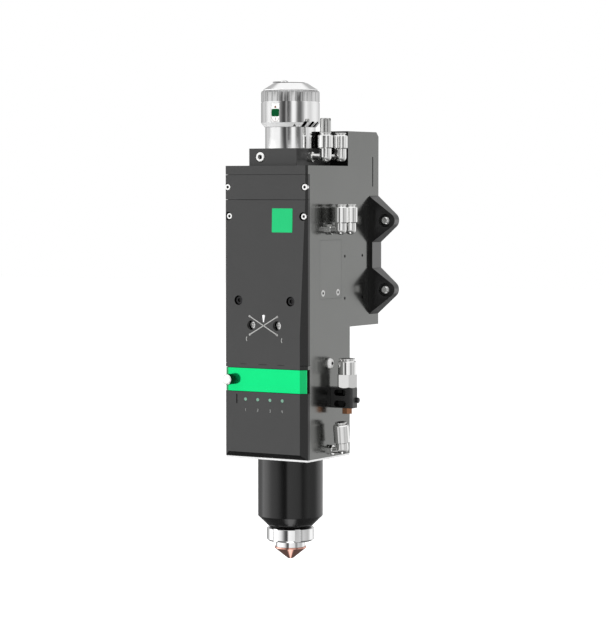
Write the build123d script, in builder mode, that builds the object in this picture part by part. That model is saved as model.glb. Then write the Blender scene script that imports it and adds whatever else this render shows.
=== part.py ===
"""A fibre-laser cutting head with a motor-driven focus, as an assembly of its real pieces.

Millimetres. Origin: the middle of the four mounting studs, on the rear mounting face.
+Z is up, against the beam. -Y is the front with the covers, and +X is the side with the fittings.
"""

import math
import os

from build123d import *

os.makedirs("parts", exist_ok=True)

# The housing
body_width = 84.0
axis_to_mount_face = 82.4  # from the beam to the rear face
front_reach = 43.9  # from the beam to the front of the lower covers
lower_depth_behind_axis = 31.7
notch_depth_behind_axis = 28.25
mount_height = 174.2  # from the housing's underside to the middle of the studs
rear_section_clearance = 111.9  # from the underside to the bottom of the rear section
rear_section_rise = 30.5  # of the rear section above the front's top
rear_edge_chamfer = 4.0
side_wall = 11.0
back_wall = 4.0

# The front covers, stacked from the underside to the top
lower_cover_height = 57.2
drawer_height = 20.1
rail_height = 3.1
main_cover_height = 142.2
upper_cover_height = 21.3
top_rail_height = 7.6
cover_thickness = 7.5
lean_depth = 3.0  # how far the main cover's face leans out on its way down
lean_length = 117.5
corner_chamfer_width = 5.5
corner_chamfer_depth = 4.5
bevel_height = 4.4
cover_seam = 0.3
drawer_seam = 0.4
cover_pocket_depth = 2.0
cover_pocket_margin = 12.0
drill_spare = 1.0  # of a blind hole beyond its screw
cut_margin = 1.0  # of a cutting shape beyond the faces
passage_overrun = 4.0  # of a drilled way into the beam's bore

# Cover screws
cap_head_radius = 2.75
cap_head_height = 3.0
cap_head_edge = 0.3
upper_sink_depth = 0.4  # of the head under the cover's face
upper_sink_radius = 3.2
main_sink_depth = 1.5
main_sink_radius = 3.6
cap_shank_radius = 1.5
cap_grip = 9.0  # of the shank under the head
cap_hex_radius = 1.4
upper_screw_inset = 2.8  # from the body's side
upper_screw_rise = 10.7
main_screw_inset = 4.1
main_screw_drop = 14.2
black_screw_inset = 15.5
black_screw_rise = 55.0
black_sink_radius = 4.1
black_head_radius = 3.6
black_sink_depth = 1.6
black_hex_radius = 1.9
black_boss_width = 5.0
black_boss_depth = 14.0
thread_clearance = 0.1

# Centring adjusters and the stage that they move
adjuster_x = 13.1
adjuster_rise = 33.7
adjuster_head_radius = 3.6
adjuster_head_length = 2.2
adjuster_hole_radius = 3.95
adjuster_shank_radius = 3.0
adjuster_recess = 4.2
adjuster_edge = 0.4
adjuster_point = 1.0
adjuster_hex_radius = 1.8
adjuster_hex_depth = 1.4
running_clearance = 0.05
stage_tip_gap = 0.8
stage_inset = 4.0  # from the room's wall
stage_half_depth = 24.0
stage_corner = 3.0
frame_plate_thickness = 8.0
cell_height = 12.0
cell_inset = 7.0  # from the stage's side
cell_half_depth = 20.0
lug_width = 12.0
lug_depth = 4.0
lug_headroom = 1.5
slide_gap = 0.2
focus_bore_radius = 13.0
lens_radius = 15.0
lens_thickness = 5.0
lens_seat_lip = 2.0
lens_ring_height = 2.5
lens_ring_width = 2.0
lens_clearance = 0.1

# Inside the housing
beam_bore_radius = 16.0
stage_room_below = 11.5
stage_room_above = 11.0
partition = 3.0
ceiling = 12.0
rear_ceiling = 4.5

# Focus drive
rod_radius = 3.0
rod_inset = 7.5  # from the room's wall
rod_behind_axis = 18.0
rod_socket = 4.0
screw_behind_axis = 31.0
screw_radius = 3.0
motor_side = 28.0
motor_height = 31.0
motor_corner = 3.0
motor_socket = 4.0
motor_clearance = 1.0
screw_foot_gap = 0.5
screw_top_gap = 0.3
bearing_radius = 6.5
bearing_height = 5.0
bearing_seat_depth = 2.0
carriage_rise = 27.0  # of the carriage's underside above the partition, at rest
carriage_height = 14.0
carriage_inset = 2.0  # from the room's wall
carriage_front = 20.0
carriage_back = 39.0
carriage_front_corner = 10.0
carriage_back_corner = 12.0
cell_tube_radius = 20.0
cell_tube_height = 24.0
nut_radius = 5.0
nut_flange_radius = 7.5
nut_flange_height = 3.0
collimator_bore_radius = 13.0
board_thickness = 1.6

# Window drawer
drawer_side_inset = 1.0
drawer_front_thickness = 4.5
drawer_boss_inset = 6.0
drawer_boss_drop = 3.0
tray_inset = 12.0
tray_back = 24.0  # behind the beam
tray_height = 12.0
tray_clearance = 0.4
tray_corner = 4.0
window_radius = 15.0
window_thickness = 3.0
window_lip = 1.5
window_seal_height = 2.0
window_seal_width = 2.2
thumb_screw_inset = 8.7
thumb_head_radius = 4.55
thumb_head_length = 7.0
thumb_front_edge = 0.8
thumb_back_edge = 0.5
thumb_stand_off = 1.5
thumb_neck_radius = 2.6
thumb_shank_radius = 2.0
thumb_shank_reach = 9.0
thumb_hole_clearance = 0.3

# Indicator lights
light_pitch = 12.5
light_radius = 1.5
light_drop = 6.5
light_count = 4
light_tail = 1.0
light_proud = 0.2
light_board_inset = 17.0
light_board_height = 9.0
light_pocket_margin = 1.0
light_socket_inset = 3.0
light_socket_length = 3.0
light_socket_radius = 1.8
slit_inset = 14.2
slit_drop = 6.4
slit_length = 8.1
slit_width = 1.0
slit_depth = 1.2

# Nose: base plate, sensor body, lock nut, ceramic and nozzle
base_plate_thickness = 1.8
sensor_radius = 28.65
sensor_length = 52.6
sensor_cone_length = 11.1
sensor_cone_end_radius = 17.35
sensor_bore_radius = 12.0
sensor_spigot = 4.0
spigot_clearance = 0.1
nose_length = 7.0
nose_radius = 14.8
nose_bore_radius = 8.2
lock_nut_radius = 20.85
lock_nut_height = 11.8
lock_nut_overlap = 0.6  # of the nut above the cone's end
lock_nut_slots = 6
lock_nut_slot_width = 5.0
lock_nut_slot_depth = 1.2
lock_nut_chamfer = 1.6
lock_nut_edge = 0.6
lock_nut_slot_turn = 20.0  # degrees
lock_nut_mouth_gap = 0.8  # round the cone's end
lock_nut_floor_gap = 0.4  # under the cone's end
ceramic_radius = 12.95
ceramic_drop = 5.4
ceramic_flange_radius = 14.4
ceramic_flange_height = 1.8
ceramic_spigot_radius = 8.0
ceramic_spigot_height = 6.0
ceramic_bore_radius = 5.6
ceramic_clearance = 0.15
nozzle_radius = 14.05
nozzle_height = 10.6
nozzle_rim = 1.2
nozzle_tip_radius = 2.3
nozzle_thread_radius = 5.5
nozzle_thread_height = 8.0
nozzle_inlet_radius = 4.2
orifice_radius = 1.0
orifice_length = 1.5

# Top block and fibre socket
block_half_width = 24.3
block_front = 29.1
block_back = 28.0
block_height = 15.0
clamp_screw_x = -12.6
clamp_screw_drop = 7.4
clamp_head_radius = 4.25
clamp_head_height = 5.0
clamp_head_proud = 1.0
clamp_sink_radius = 4.6
clamp_shank_radius = 2.5
clamp_grip = 9.0
clamp_head_edge = 0.5
clamp_hex_radius = 2.3
clamp_hex_depth = 2.5
neck_radius = 22.0
neck_height = 18.7
socket_spigot_radius = 17.0
socket_barrel_radius = 19.5
socket_bore_radius = 12.0
socket_floor_radius = 6.0
socket_bore_depth = 24.0
socket_foot_gap = 2.0  # over the block's floor
ring_radius = 25.6
ring_height = 31.8
ring_groove_rise = 21.4
ring_groove_depth = 0.5
ring_groove_width = 0.8
ring_chamfer = 3.7
ring_foot_step = 0.6
ring_top_round = 1.6
ring_lip_height = 3.0
ring_lip_clearance = 0.4
ring_lip_gap = 0.3
ring_flute_count = 30
ring_flute_radius = 1.1
ring_flute_depth = 0.35
ring_seat_gap = 0.1
ring_slot_turns = (-30.8, -12.2, 5.1)  # degrees from +X
ring_slot_width = 3.6
ring_slot_height = 4.6
ring_slot_slant = 2.0  # of its top, sideways
ring_slot_floor = 21.4  # radius
window_mark_width = 8.6
window_mark_depth = 0.9
window_mark_rise = 4.3
window_mark_height = 16.5
cap_rim_radius = 24.0
cap_top_radius = 15.0
cap_rise = 6.5
cap_stem_length = 12.0
cap_stem_clearance = 0.4
cap_stem_edge = 1.1
cap_rim_height = 0.8
cap_lift_gap = 0.1
cap_eye_thickness = 3.2
cap_eye_wall = 1.2
cap_eye_radius = 3.4
cap_eye_rise = 2.8
cap_eye_x = -6.0
cap_groove_radius = 13.2
cap_groove_width = 1.0
cap_groove_depth = 0.6

# Push-in fittings: a pair in the notch, a pair on the side and one low on the side
tube_radius = 3.0
tube_fit = 0.05
tube_socket_depth = 6.5
flow_radius = 2.0
collet_radius = 4.2
collet_bore_radius = 3.2
collet_length = 7.0
collet_travel = 1.2
collet_flange_radius = 5.0
collet_flange_height = 1.0
collet_clearance = 0.3
sleeve_edge = 0.8
dome_share = 0.9  # of the barrel's radius, from its foot to the leg's centre
notch_elbow_inset = 2.3
notch_elbow_front = -6.5
notch_elbow_rear = 19.0
notch_elbow_lift = 3.0
notch_leg_rise = 4.6
notch_sleeve_rise = 12.7
notch_mouth_rise = 25.9
notch_sleeve_radius = 6.5
notch_barrel_radius = 5.25
notch_leg_radius = 2.8
side_elbow_reach = 11.7  # from the body's side
side_elbow_front = -4.1
side_elbow_rear = 12.4
side_elbow_z = 193.4  # above the underside
side_leg_rise = 4.6
side_sleeve_rise = 10.9
side_mouth_rise = 26.5
side_sleeve_radius = 6.25
side_barrel_radius = 5.0
side_leg_radius = 3.6
low_elbow_reach = 12.3
low_elbow_y = -2.0
low_elbow_z = 2.7
low_leg_rise = 3.3
low_sleeve_rise = 10.9
low_mouth_rise = 28.5
low_sleeve_radius = 6.85
low_barrel_radius = 5.6
low_leg_radius = 3.0
low_elbow_lean = 7.0  # degrees towards the front
leg_thread_radius = 4.0
leg_thread_length = 6.0
leg_nut_radius = 4.4
leg_nut_length = 3.0
plug_insertion = 5.0  # of the stem beyond the collet
plug_head_radius = 4.7
plug_head_height = 12.0
plug_stand_off = 1.4
plug_slots = 6
plug_slot_length = 1.6
plug_slot_width = 1.6
plug_slot_depth = 2.2
plug_edge = 0.6

# Gas block on the side
gas_block_reach = 20.8
gas_block_front = -0.65
gas_block_back = 10.4
gas_block_z = 42.8  # above the underside
gas_block_height = 17.6
gas_block_round = 2.0
gas_axis_reach = 13.0
gas_axis_y = 4.9
gas_slot_reach = 9.0
gas_slot_length = 11.8
gas_slot_height = 5.5
gas_slot_depth = 3.5
gas_slot_rises = (3.6, 13.3)
gas_screw_rise = 6.7
gas_screw_y = 7.8
gas_passage_rise = 11.5
plug_port_depth = 4.0
plug_drill_radius = 1.2
plug_drill_y = 3.1
gas_screw_head_radius = 2.4
gas_screw_head_height = 2.2
gas_screw_length = 24.0
gas_screw_head_edge = 0.4
gas_hex_flats = 16.0
gas_hex_height = 11.5
gas_hex_turn = 8.0  # degrees
gas_hex_face_radius = 7.9
gas_hex_rim_radius = 9.4
gas_hex_bevel = 1.2
gas_sleeve_radius = 8.0
gas_sleeve_height = 14.0
gas_sleeve_root = 0.5  # in the hexagon
gas_tube_radius = 5.0
gas_collet_radius = 6.2
gas_collet_bore_radius = 5.2
gas_collet_flange_radius = 7.0
gas_flow_radius = 2.5
gas_thread_radius = 4.4
gas_thread_length = 6.0
plug_nut_radius = 4.8
plug_nut_height = 5.1
plug_thread_radius = 2.9

# Side service cover and screws
side_cover_front = -19.6
side_cover_back = 16.8
side_cover_z = 137.8  # above the underside
side_cover_height = 51.0
side_cover_thickness = 2.5
side_opening_margin = 7.0
side_screw_radius = 3.0
side_screw_head = 1.6
side_screw_edge = 0.2
side_screw_length = 8.0
side_hex_radius = 1.2
side_hex_depth = 1.2
side_screw_rise = 5.1
side_screw_y = (-14.1, 11.3)
button_screw_y = -2.75
button_screw_z = 81.6  # above the underside
button_screw_radius = 4.55
button_screw_height = 2.6
button_rim_height = 0.6
button_shoulder_inset = 0.65
button_shoulder_drop = 0.8
button_flat_radius = 2.5
button_hex_radius = 1.7
button_hex_depth = 1.6
button_shank_radius = 2.5
button_shank_length = 8.0
pin_hole_radius = 1.25
pin_hole_depth = 3.0
pin_hole_y = (22.9, 53.5)
pin_hole_z = (137.2, 174.2)  # above the underside
side_slot_y = 72.0
side_slot_z = 235.2  # above the underside
side_slot_length = 26.4
side_slot_width = 1.4
side_slot_depth = 1.5

# Mounting plate and studs
plate_thickness = 16.2
plate_waist_proud = 3.0
stud_overhang = 14.0  # of the studs beyond the body's sides
stud_spacing_z = 61.7
ear_tip_radius = 7.4
ear_slope = 41.0  # degrees
ear_front_taper = 7.8
spot_face_radius = 6.0
spot_face_depth = 1.2
stud_radius = 3.0
stud_grip_radius = 3.2  # in the plate and in front of it
stud_front = 3.7
stud_rear = 5.0
stud_chamfer = 0.6
stud_fit = 0.05
plate_screw_inset = 7.0
plate_screw_z = 44.0
plate_screw_radius = 2.5
plate_screw_reach = 9.0  # into the housing
plate_head_radius = 4.4
plate_head_height = 5.0
plate_head_sink = 1.0
plate_sink_radius = 4.7
plate_hex_radius = 2.3
plate_hex_depth = 2.5

# Control connector, sunk in the rear section's top
connector_radius = 8.0
connector_depth = 12.0
connector_sink = 0.6
connector_shell = 1.2
connector_pin_radius = 0.8
connector_pin_circle = 3.6
connector_pins = 5
connector_pin_drop = 1.5  # under the shell's rim

# Planes that the pieces share
half_width = body_width / 2
upper_screw_x = half_width - upper_screw_inset
main_screw_x = half_width - main_screw_inset
black_screw_x = half_width - black_screw_inset
tray_half_width = half_width - tray_inset
thumb_screw_x = thumb_screw_inset - half_width
slit_x = slit_inset - half_width
light_board_half = half_width - light_board_inset
notch_elbow_x = half_width - notch_elbow_inset
side_elbow_x = half_width + side_elbow_reach
low_elbow_x = half_width + low_elbow_reach
gas_axis_x = half_width + gas_axis_reach
gas_slot_x = half_width + gas_slot_reach
stud_spacing_x = body_width + 2 * stud_overhang
plate_screw_x = half_width - plate_screw_inset
room_half_width = half_width - side_wall
stage_half_width = room_half_width - stage_inset
cell_half_width = stage_half_width - cell_inset
rod_x = room_half_width - rod_inset
carriage_half_width = room_half_width - carriage_inset

axis_y = -axis_to_mount_face
front_y = axis_y - front_reach
upper_front_y = front_y + lean_depth
parting_y = front_y + cover_thickness
corner_y = front_y + corner_chamfer_depth
body_back_y = axis_y + lower_depth_behind_axis
notch_y = axis_y + notch_depth_behind_axis
plate_front_y = -plate_thickness
room_back_y = plate_front_y - back_wall

underside_z = -mount_height
lower_cover_top = underside_z + lower_cover_height
drawer_bottom = lower_cover_top + drawer_seam
drawer_top = drawer_bottom + drawer_height
rail_bottom = drawer_top + drawer_seam
rail_top = rail_bottom + rail_height
main_cover_bottom = rail_top + cover_seam
main_cover_top = main_cover_bottom + main_cover_height
upper_cover_bottom = main_cover_top + cover_seam
upper_cover_top = upper_cover_bottom + upper_cover_height
front_top_z = upper_cover_top + cover_seam + top_rail_height
lean_bottom = main_cover_top - lean_length
rear_bottom_z = underside_z + rear_section_clearance
rear_top_z = front_top_z + rear_section_rise

adjuster_z = main_cover_bottom + adjuster_rise
stage_bottom = adjuster_z - stage_room_below
stage_top = adjuster_z + stage_room_above
room_bottom = stage_top + partition
room_top = front_top_z - ceiling
drawer_middle = (drawer_bottom + drawer_top) / 2
screw_y = axis_y + screw_behind_axis
motor_bottom = room_top - motor_height
carriage_bottom = room_bottom + carriage_rise
ear_root_z = stud_spacing_z / 2 + (
    stud_spacing_x / 2
    + ear_tip_radius / math.sin(math.radians(ear_slope))
    - half_width
) * math.tan(math.radians(ear_slope))


def front_face_y(z):
    """Where the front face lies at a height."""
    if z <= lean_bottom:
        return front_y
    if z >= main_cover_top:
        return upper_front_y
    return front_y + lean_depth * (z - lean_bottom) / lean_length


def block_between(x_span, y_span, z_span, mode=Mode.ADD):
    """A straight-sided block between two limits on each axis."""
    spans = (x_span, y_span, z_span)
    middle = [(low + high) / 2 for low, high in spans]
    length, width, height = [high - low for low, high in spans]
    with Locations(tuple(middle)):
        Box(length, width, height, mode=mode)


def bar(start, axis, length, radius, mode=Mode.ADD):
    """A round bar or hole from a start point along X, Y or Z."""
    normal = {"x": (1, 0, 0), "y": (0, 1, 0), "z": (0, 0, 1)}[axis]
    with BuildSketch(Plane(origin=start, z_dir=normal)) as disc:
        Circle(radius)
    extrude(disc.sketch, amount=length, mode=mode)


def turned(corners, x, y, mode=Mode.ADD):
    """Turn a profile of (radius, height) corners about the upright line through x, y."""
    with BuildSketch(Plane(origin=(x, y, 0), x_dir=(1, 0, 0), z_dir=(0, -1, 0))) as half:
        with BuildLine():
            Polyline(*corners, close=True)
        make_face()
    revolve(half.sketch, axis=Axis((x, y, 0), (0, 0, 1)), mode=mode)


def turned_along_y(corners, x, z, mode=Mode.ADD):
    """Turn a profile of (radius, depth) corners about the line through x, z that runs back."""
    with BuildSketch(Plane(origin=(x, 0, z), x_dir=(1, 0, 0), z_dir=(0, 0, 1))) as half:
        with BuildLine():
            Polyline(*corners, close=True)
        make_face()
    revolve(half.sketch, axis=Axis((x, 0, z), (0, 1, 0)), mode=mode)


def turned_along_x(corners, y, z, mode=Mode.ADD):
    """Turn a profile of (radius, reach) corners about the line through y, z that runs sideways."""
    with BuildSketch(Plane(origin=(0, y, z), x_dir=(0, 0, 1), z_dir=(0, 1, 0))) as half:
        with BuildLine():
            Polyline(*corners, close=True)
        make_face()
    revolve(half.sketch, axis=Axis((0, y, z), (1, 0, 0)), mode=mode)


def side_outline():
    """The covered front of the head, seen from the side."""
    with BuildSketch(Plane.YZ) as outline:
        with BuildLine():
            Polyline(
                (front_y + corner_chamfer_depth, underside_z),
                (front_y, underside_z + bevel_height),
                (front_y, lean_bottom),
                (upper_front_y, main_cover_top),
                (upper_front_y, front_top_z),
                (body_back_y, front_top_z),
                (body_back_y, underside_z),
                close=True,
            )
        make_face()
    return outline.sketch


def plan_outline(inset=0):
    """The head from above, with its two front corners cut off at an angle."""
    flat = half_width - corner_chamfer_width
    edge = half_width - inset
    edge_y = corner_y - corner_chamfer_depth / corner_chamfer_width * inset
    with BuildSketch(Plane.XY.offset(underside_z)) as outline:
        with BuildLine():
            Polyline(
                (-edge, body_back_y),
                (-edge, edge_y),
                (-flat, front_y),
                (flat, front_y),
                (edge, edge_y),
                (edge, body_back_y),
                close=True,
            )
        make_face()
    return outline.sketch


def covered_front(inset=0):
    """The head's full front form, from which the covers and the housing are cut."""
    extrude(side_outline(), amount=half_width, both=True)
    extrude(plan_outline(inset), amount=front_top_z - underside_z, mode=Mode.INTERSECT)


def front_cover(bottom, top):
    """A front cover between two heights."""
    covered_front()
    block_between(
        (-half_width, half_width), (front_y, parting_y), (bottom, top), mode=Mode.INTERSECT
    )


def cap_screw(x, head_y, z, head_radius, hex_radius):
    """A socket-head screw whose head is sunk just under the cover's face."""
    under_y = head_y + cap_head_height
    turned_along_y(
        (
            (0, head_y),
            (head_radius - cap_head_edge, head_y),
            (head_radius, head_y + cap_head_edge),
            (head_radius, under_y),
            (cap_shank_radius, under_y),
            (cap_shank_radius, under_y + cap_grip),
            (0, under_y + cap_grip),
        ),
        x,
        z,
    )
    with BuildSketch(Plane(origin=(x, head_y, z), z_dir=(0, 1, 0))) as socket:
        RegularPolygon(hex_radius, 6)
    extrude(socket.sketch, amount=cap_head_height / 2, mode=Mode.SUBTRACT)


# Heights of the cover screws, and how deep their heads lie
upper_screw_z = upper_cover_bottom + upper_screw_rise
main_screw_z = main_cover_top - main_screw_drop
black_screw_z = main_cover_bottom + black_screw_rise
upper_head_y = front_face_y(upper_screw_z) + upper_sink_depth
main_head_y = front_face_y(main_screw_z) + main_sink_depth
black_head_y = front_face_y(black_screw_z) + black_sink_depth
light_z = lower_cover_top - light_drop
side_screw_z = underside_z + side_cover_z + side_screw_rise
button_z = underside_z + button_screw_z
block_top_z = front_top_z + block_height
clamp_z = block_top_z - clamp_screw_drop
gas_z = underside_z + gas_block_z
gas_top_z = gas_z + gas_block_height
gas_screw_z = gas_z + gas_screw_rise
gas_y = axis_y + gas_axis_y
notch_foot_z = front_top_z + notch_elbow_lift
side_foot_z = underside_z + side_elbow_z
low_foot_z = underside_z + low_elbow_z
notch_leg_z = notch_foot_z + notch_leg_rise
side_leg_z = side_foot_z + side_leg_rise
low_leg_z = low_foot_z + low_leg_rise
notch_elbow_y = (axis_y + notch_elbow_front, axis_y + notch_elbow_rear)
side_elbow_y = (axis_y + side_elbow_front, axis_y + side_elbow_rear)
low_y = axis_y + low_elbow_y
ring_bottom_z = block_top_z + neck_height
ring_top_z = ring_bottom_z + ring_height
rear_room_front = screw_y + motor_side / 2 + motor_clearance
plate_head_y = -plate_head_sink - plate_head_height
connector_y = (rear_room_front + room_back_y) / 2
connector_top_z = rear_top_z - connector_sink

# Main housing: one machined body that carries everything
with BuildPart() as main_housing:
    covered_front()
    block_between(
        (-half_width, half_width), (notch_y, 0), (rear_bottom_z, rear_top_z)
    )
    rear_edges = main_housing.edges().filter_by(Axis.X).filter_by_position(
        Axis.Y, -0.01, 0.01
    )
    chamfer(rear_edges.sort_by(Axis.Z)[-1], length=rear_edge_chamfer)
    # seats of the covers and of the drawer's front
    for bottom, top in (
        (underside_z, rail_bottom),
        (rail_top, upper_cover_top + cover_seam),
    ):
        block_between(
            (-half_width, half_width), (front_y, parting_y), (bottom, top), mode=Mode.SUBTRACT
        )
    # the drawer's slot
    block_between(
        (-tray_half_width - tray_clearance, tray_half_width + tray_clearance),
        (parting_y, axis_y + tray_back + tray_clearance),
        (
            drawer_middle - tray_height / 2 - tray_clearance,
            drawer_middle + tray_height / 2 + tray_clearance,
        ),
        mode=Mode.SUBTRACT,
    )
    # room of the centring stage, and the large room of the focus drive
    block_between(
        (-room_half_width, room_half_width),
        (parting_y, body_back_y - back_wall),
        (stage_bottom, stage_top),
        mode=Mode.SUBTRACT,
    )
    block_between(
        (-room_half_width, room_half_width),
        (parting_y, room_back_y),
        (room_bottom, room_top),
        mode=Mode.SUBTRACT,
    )
    block_between(
        (-room_half_width, room_half_width),
        (rear_room_front, room_back_y),
        (room_bottom, rear_top_z - rear_ceiling),
        mode=Mode.SUBTRACT,
    )
    # bosses for the two black screws, in the room's lower corners
    for side in (-1, 1):
        block_between(
            sorted((side * (black_screw_x - black_boss_width), side * room_half_width)),
            (parting_y, parting_y + black_boss_depth),
            (room_bottom, black_screw_z + black_boss_width),
        )
    # the beam's way through, from the top to the underside
    turned(
        (
            (0, underside_z),
            (-beam_bore_radius, underside_z),
            (-beam_bore_radius, front_top_z),
            (0, front_top_z),
        ),
        0,
        axis_y,
        mode=Mode.SUBTRACT,
    )
    # pocket of the indicator board, and the way for its leads
    block_between(
        (-light_board_half - light_pocket_margin, light_board_half + light_pocket_margin),
        (parting_y, parting_y + light_tail + board_thickness + light_socket_length),
        (
            light_z - light_board_height / 2 - light_pocket_margin,
            light_z + light_board_height / 2 + light_pocket_margin,
        ),
        mode=Mode.SUBTRACT,
    )
    # pocket of the mounting plate, and the passage behind it to the drive
    block_between(
        (-half_width, half_width), (plate_front_y, 0), (-ear_root_z, ear_root_z), mode=Mode.SUBTRACT
    )
    # service opening and its cover's seat
    block_between(
        (half_width - side_cover_thickness, half_width),
        (axis_y + side_cover_front, axis_y + side_cover_back),
        (
            underside_z + side_cover_z,
            underside_z + side_cover_z + side_cover_height,
        ),
        mode=Mode.SUBTRACT,
    )
    block_between(
        (room_half_width, half_width),
        (
            axis_y + side_cover_front + side_opening_margin,
            axis_y + side_cover_back - side_opening_margin,
        ),
        (
            side_screw_z + side_opening_margin,
            underside_z + side_cover_z + side_cover_height - side_opening_margin,
        ),
        mode=Mode.SUBTRACT,
    )
    # screw holes in the front
    for x, z, head_y in (
        (upper_screw_x, upper_screw_z, upper_head_y),
        (main_screw_x, main_screw_z, main_head_y),
        (black_screw_x, black_screw_z, black_head_y),
    ):
        under_y = head_y + cap_head_height
        for side in (-1, 1):
            bar(
                (side * x, parting_y, z),
                "y",
                under_y + cap_grip + drill_spare - parting_y,
                cap_shank_radius + thread_clearance,
                Mode.SUBTRACT,
            )
    bar(
        (thumb_screw_x, parting_y, drawer_middle),
        "y",
        thumb_shank_reach + drill_spare,
        thumb_shank_radius + thumb_hole_clearance,
        Mode.SUBTRACT,
    )
    # side: screws, ports, small pin holes and one narrow slot
    for y in side_screw_y:
        bar(
            (half_width - side_screw_length - drill_spare, axis_y + y, side_screw_z), "x",
            side_screw_length + drill_spare, cap_shank_radius + thread_clearance, Mode.SUBTRACT,
        )
    bar(
        (half_width - button_shank_length - drill_spare, axis_y + button_screw_y, button_z), "x",
        button_shank_length + drill_spare, button_shank_radius + thread_clearance, Mode.SUBTRACT,
    )
    for y, z in ((side_elbow_y[0], side_leg_z), (side_elbow_y[1], side_leg_z), (low_y, low_leg_z)):
        bar(
            (half_width - leg_thread_length, y, z), "x", leg_thread_length,
            leg_thread_radius + running_clearance, Mode.SUBTRACT,
        )
    passage_start = beam_bore_radius - passage_overrun
    bar((passage_start, low_y, low_leg_z), "x", half_width - passage_start, flow_radius,
        Mode.SUBTRACT)
    bar((passage_start, gas_y, gas_z + gas_passage_rise), "x", half_width - passage_start,
        gas_flow_radius, Mode.SUBTRACT)
    gas_screw_foot = half_width + gas_block_reach - gas_screw_length - drill_spare
    bar(
        (gas_screw_foot, axis_y + gas_screw_y, gas_screw_z), "x", half_width - gas_screw_foot,
        cap_shank_radius + thread_clearance, Mode.SUBTRACT,
    )
    for y in pin_hole_y:
        for z in pin_hole_z:
            bar(
                (half_width - pin_hole_depth, axis_y + y, underside_z + z), "x", pin_hole_depth,
                pin_hole_radius, Mode.SUBTRACT,
            )
    block_between(
        (half_width - side_slot_depth, half_width),
        (
            axis_y + side_slot_y - side_slot_width / 2,
            axis_y + side_slot_y + side_slot_width / 2,
        ),
        (
            underside_z + side_slot_z,
            underside_z + side_slot_z + side_slot_length,
        ),
        mode=Mode.SUBTRACT,
    )
    # sockets of the guide rods, seat of the screw's bearing
    for side in (-1, 1):
        for z in (room_bottom - rod_socket, room_top):
            bar(
                (side * rod_x, axis_y + rod_behind_axis, z), "z", rod_socket,
                rod_radius + thread_clearance, Mode.SUBTRACT,
            )
    bar(
        (0, screw_y, room_bottom - bearing_seat_depth), "z", bearing_seat_depth,
        bearing_radius + thread_clearance, Mode.SUBTRACT,
    )
    # screw holes under the mounting plate
    for side in (-1, 1):
        for end in (-1, 1):
            bar(
                (side * plate_screw_x, plate_front_y - plate_screw_reach - drill_spare,
                 end * plate_screw_z),
                "y",
                plate_screw_reach + drill_spare,
                plate_screw_radius + thread_clearance,
                Mode.SUBTRACT,
            )
    # well of the control connector
    bar(
        (0, connector_y, rear_top_z - rear_ceiling), "z", rear_ceiling,
        connector_radius + thread_clearance, Mode.SUBTRACT,
    )
main_housing.part.label = "main_housing"
export_step(main_housing.part, "parts/main_housing.step")

# Upper front cover: opens the way to the collimator
with BuildPart() as upper_front_cover:
    front_cover(upper_cover_bottom, upper_cover_top)
    for side in (-1, 1):
        bar(
            (side * upper_screw_x, front_y, upper_screw_z), "y",
            upper_head_y + cap_head_height - front_y, upper_sink_radius, Mode.SUBTRACT,
        )
        bar(
            (side * upper_screw_x, front_y, upper_screw_z), "y", cover_thickness,
            cap_shank_radius + thread_clearance, Mode.SUBTRACT,
        )
upper_front_cover.part.label = "upper_front_cover"
export_step(upper_front_cover.part, "parts/upper_front_cover.step")

# Main front cover: a thick plate whose face leans out towards the bottom, hollowed behind
with BuildPart() as main_front_cover:
    front_cover(main_cover_bottom, main_cover_top)
    block_between(
        (-room_half_width, room_half_width),
        (parting_y - cover_pocket_depth, parting_y),
        (black_screw_z + cover_pocket_margin, main_cover_top - cover_pocket_margin),
        mode=Mode.SUBTRACT,
    )
    for side in (-1, 1):
        for x, z, sink_radius, head_y in (
            (main_screw_x, main_screw_z, main_sink_radius, main_head_y),
            (black_screw_x, black_screw_z, black_sink_radius, black_head_y),
        ):
            bar(
                (side * x, front_y, z), "y", head_y + cap_head_height - front_y,
                sink_radius, Mode.SUBTRACT,
            )
            bar(
                (side * x, front_y, z), "y", cover_thickness,
                cap_shank_radius + thread_clearance, Mode.SUBTRACT,
            )
        adjuster_face = front_face_y(adjuster_z) + adjuster_recess
        bar(
            (side * adjuster_x, front_y, adjuster_z), "y",
            adjuster_face + adjuster_head_length - front_y, adjuster_hole_radius, Mode.SUBTRACT,
        )
        bar(
            (side * adjuster_x, front_y, adjuster_z), "y", cover_thickness,
            adjuster_shank_radius + running_clearance, Mode.SUBTRACT,
        )
main_front_cover.part.label = "main_front_cover"
export_step(main_front_cover.part, "parts/main_front_cover.step")

# Lower front cover, with the four lights and a narrow slit
with BuildPart() as lower_front_cover:
    front_cover(underside_z, lower_cover_top)
    for index in range(light_count):
        bar(
            ((index - (light_count - 1) / 2) * light_pitch, front_y, light_z), "y",
            cover_thickness, light_radius + thread_clearance, Mode.SUBTRACT,
        )
    block_between(
        (slit_x - slit_width / 2, slit_x + slit_width / 2),
        (front_y, front_y + slit_depth),
        (lower_cover_top - slit_drop - slit_length / 2, lower_cover_top - slit_drop + slit_length / 2),
        mode=Mode.SUBTRACT,
    )
lower_front_cover.part.label = "lower_front_cover"
export_step(lower_front_cover.part, "parts/lower_front_cover.step")

# Screws of the front covers: four bright ones above, two black ones below
with BuildPart() as cover_screws:
    for side in (-1, 1):
        cap_screw(side * upper_screw_x, upper_head_y, upper_screw_z, cap_head_radius, cap_hex_radius)
        cap_screw(side * main_screw_x, main_head_y, main_screw_z, cap_head_radius, cap_hex_radius)
cover_screws.part.label = "cover_screws"
export_step(cover_screws.part, "parts/cover_screws.step")

with BuildPart() as black_cover_screws:
    for side in (-1, 1):
        cap_screw(
            side * black_screw_x, black_head_y, black_screw_z, black_head_radius, black_hex_radius
        )
black_cover_screws.part.label = "black_cover_screws"
export_step(black_cover_screws.part, "parts/black_cover_screws.step")

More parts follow.
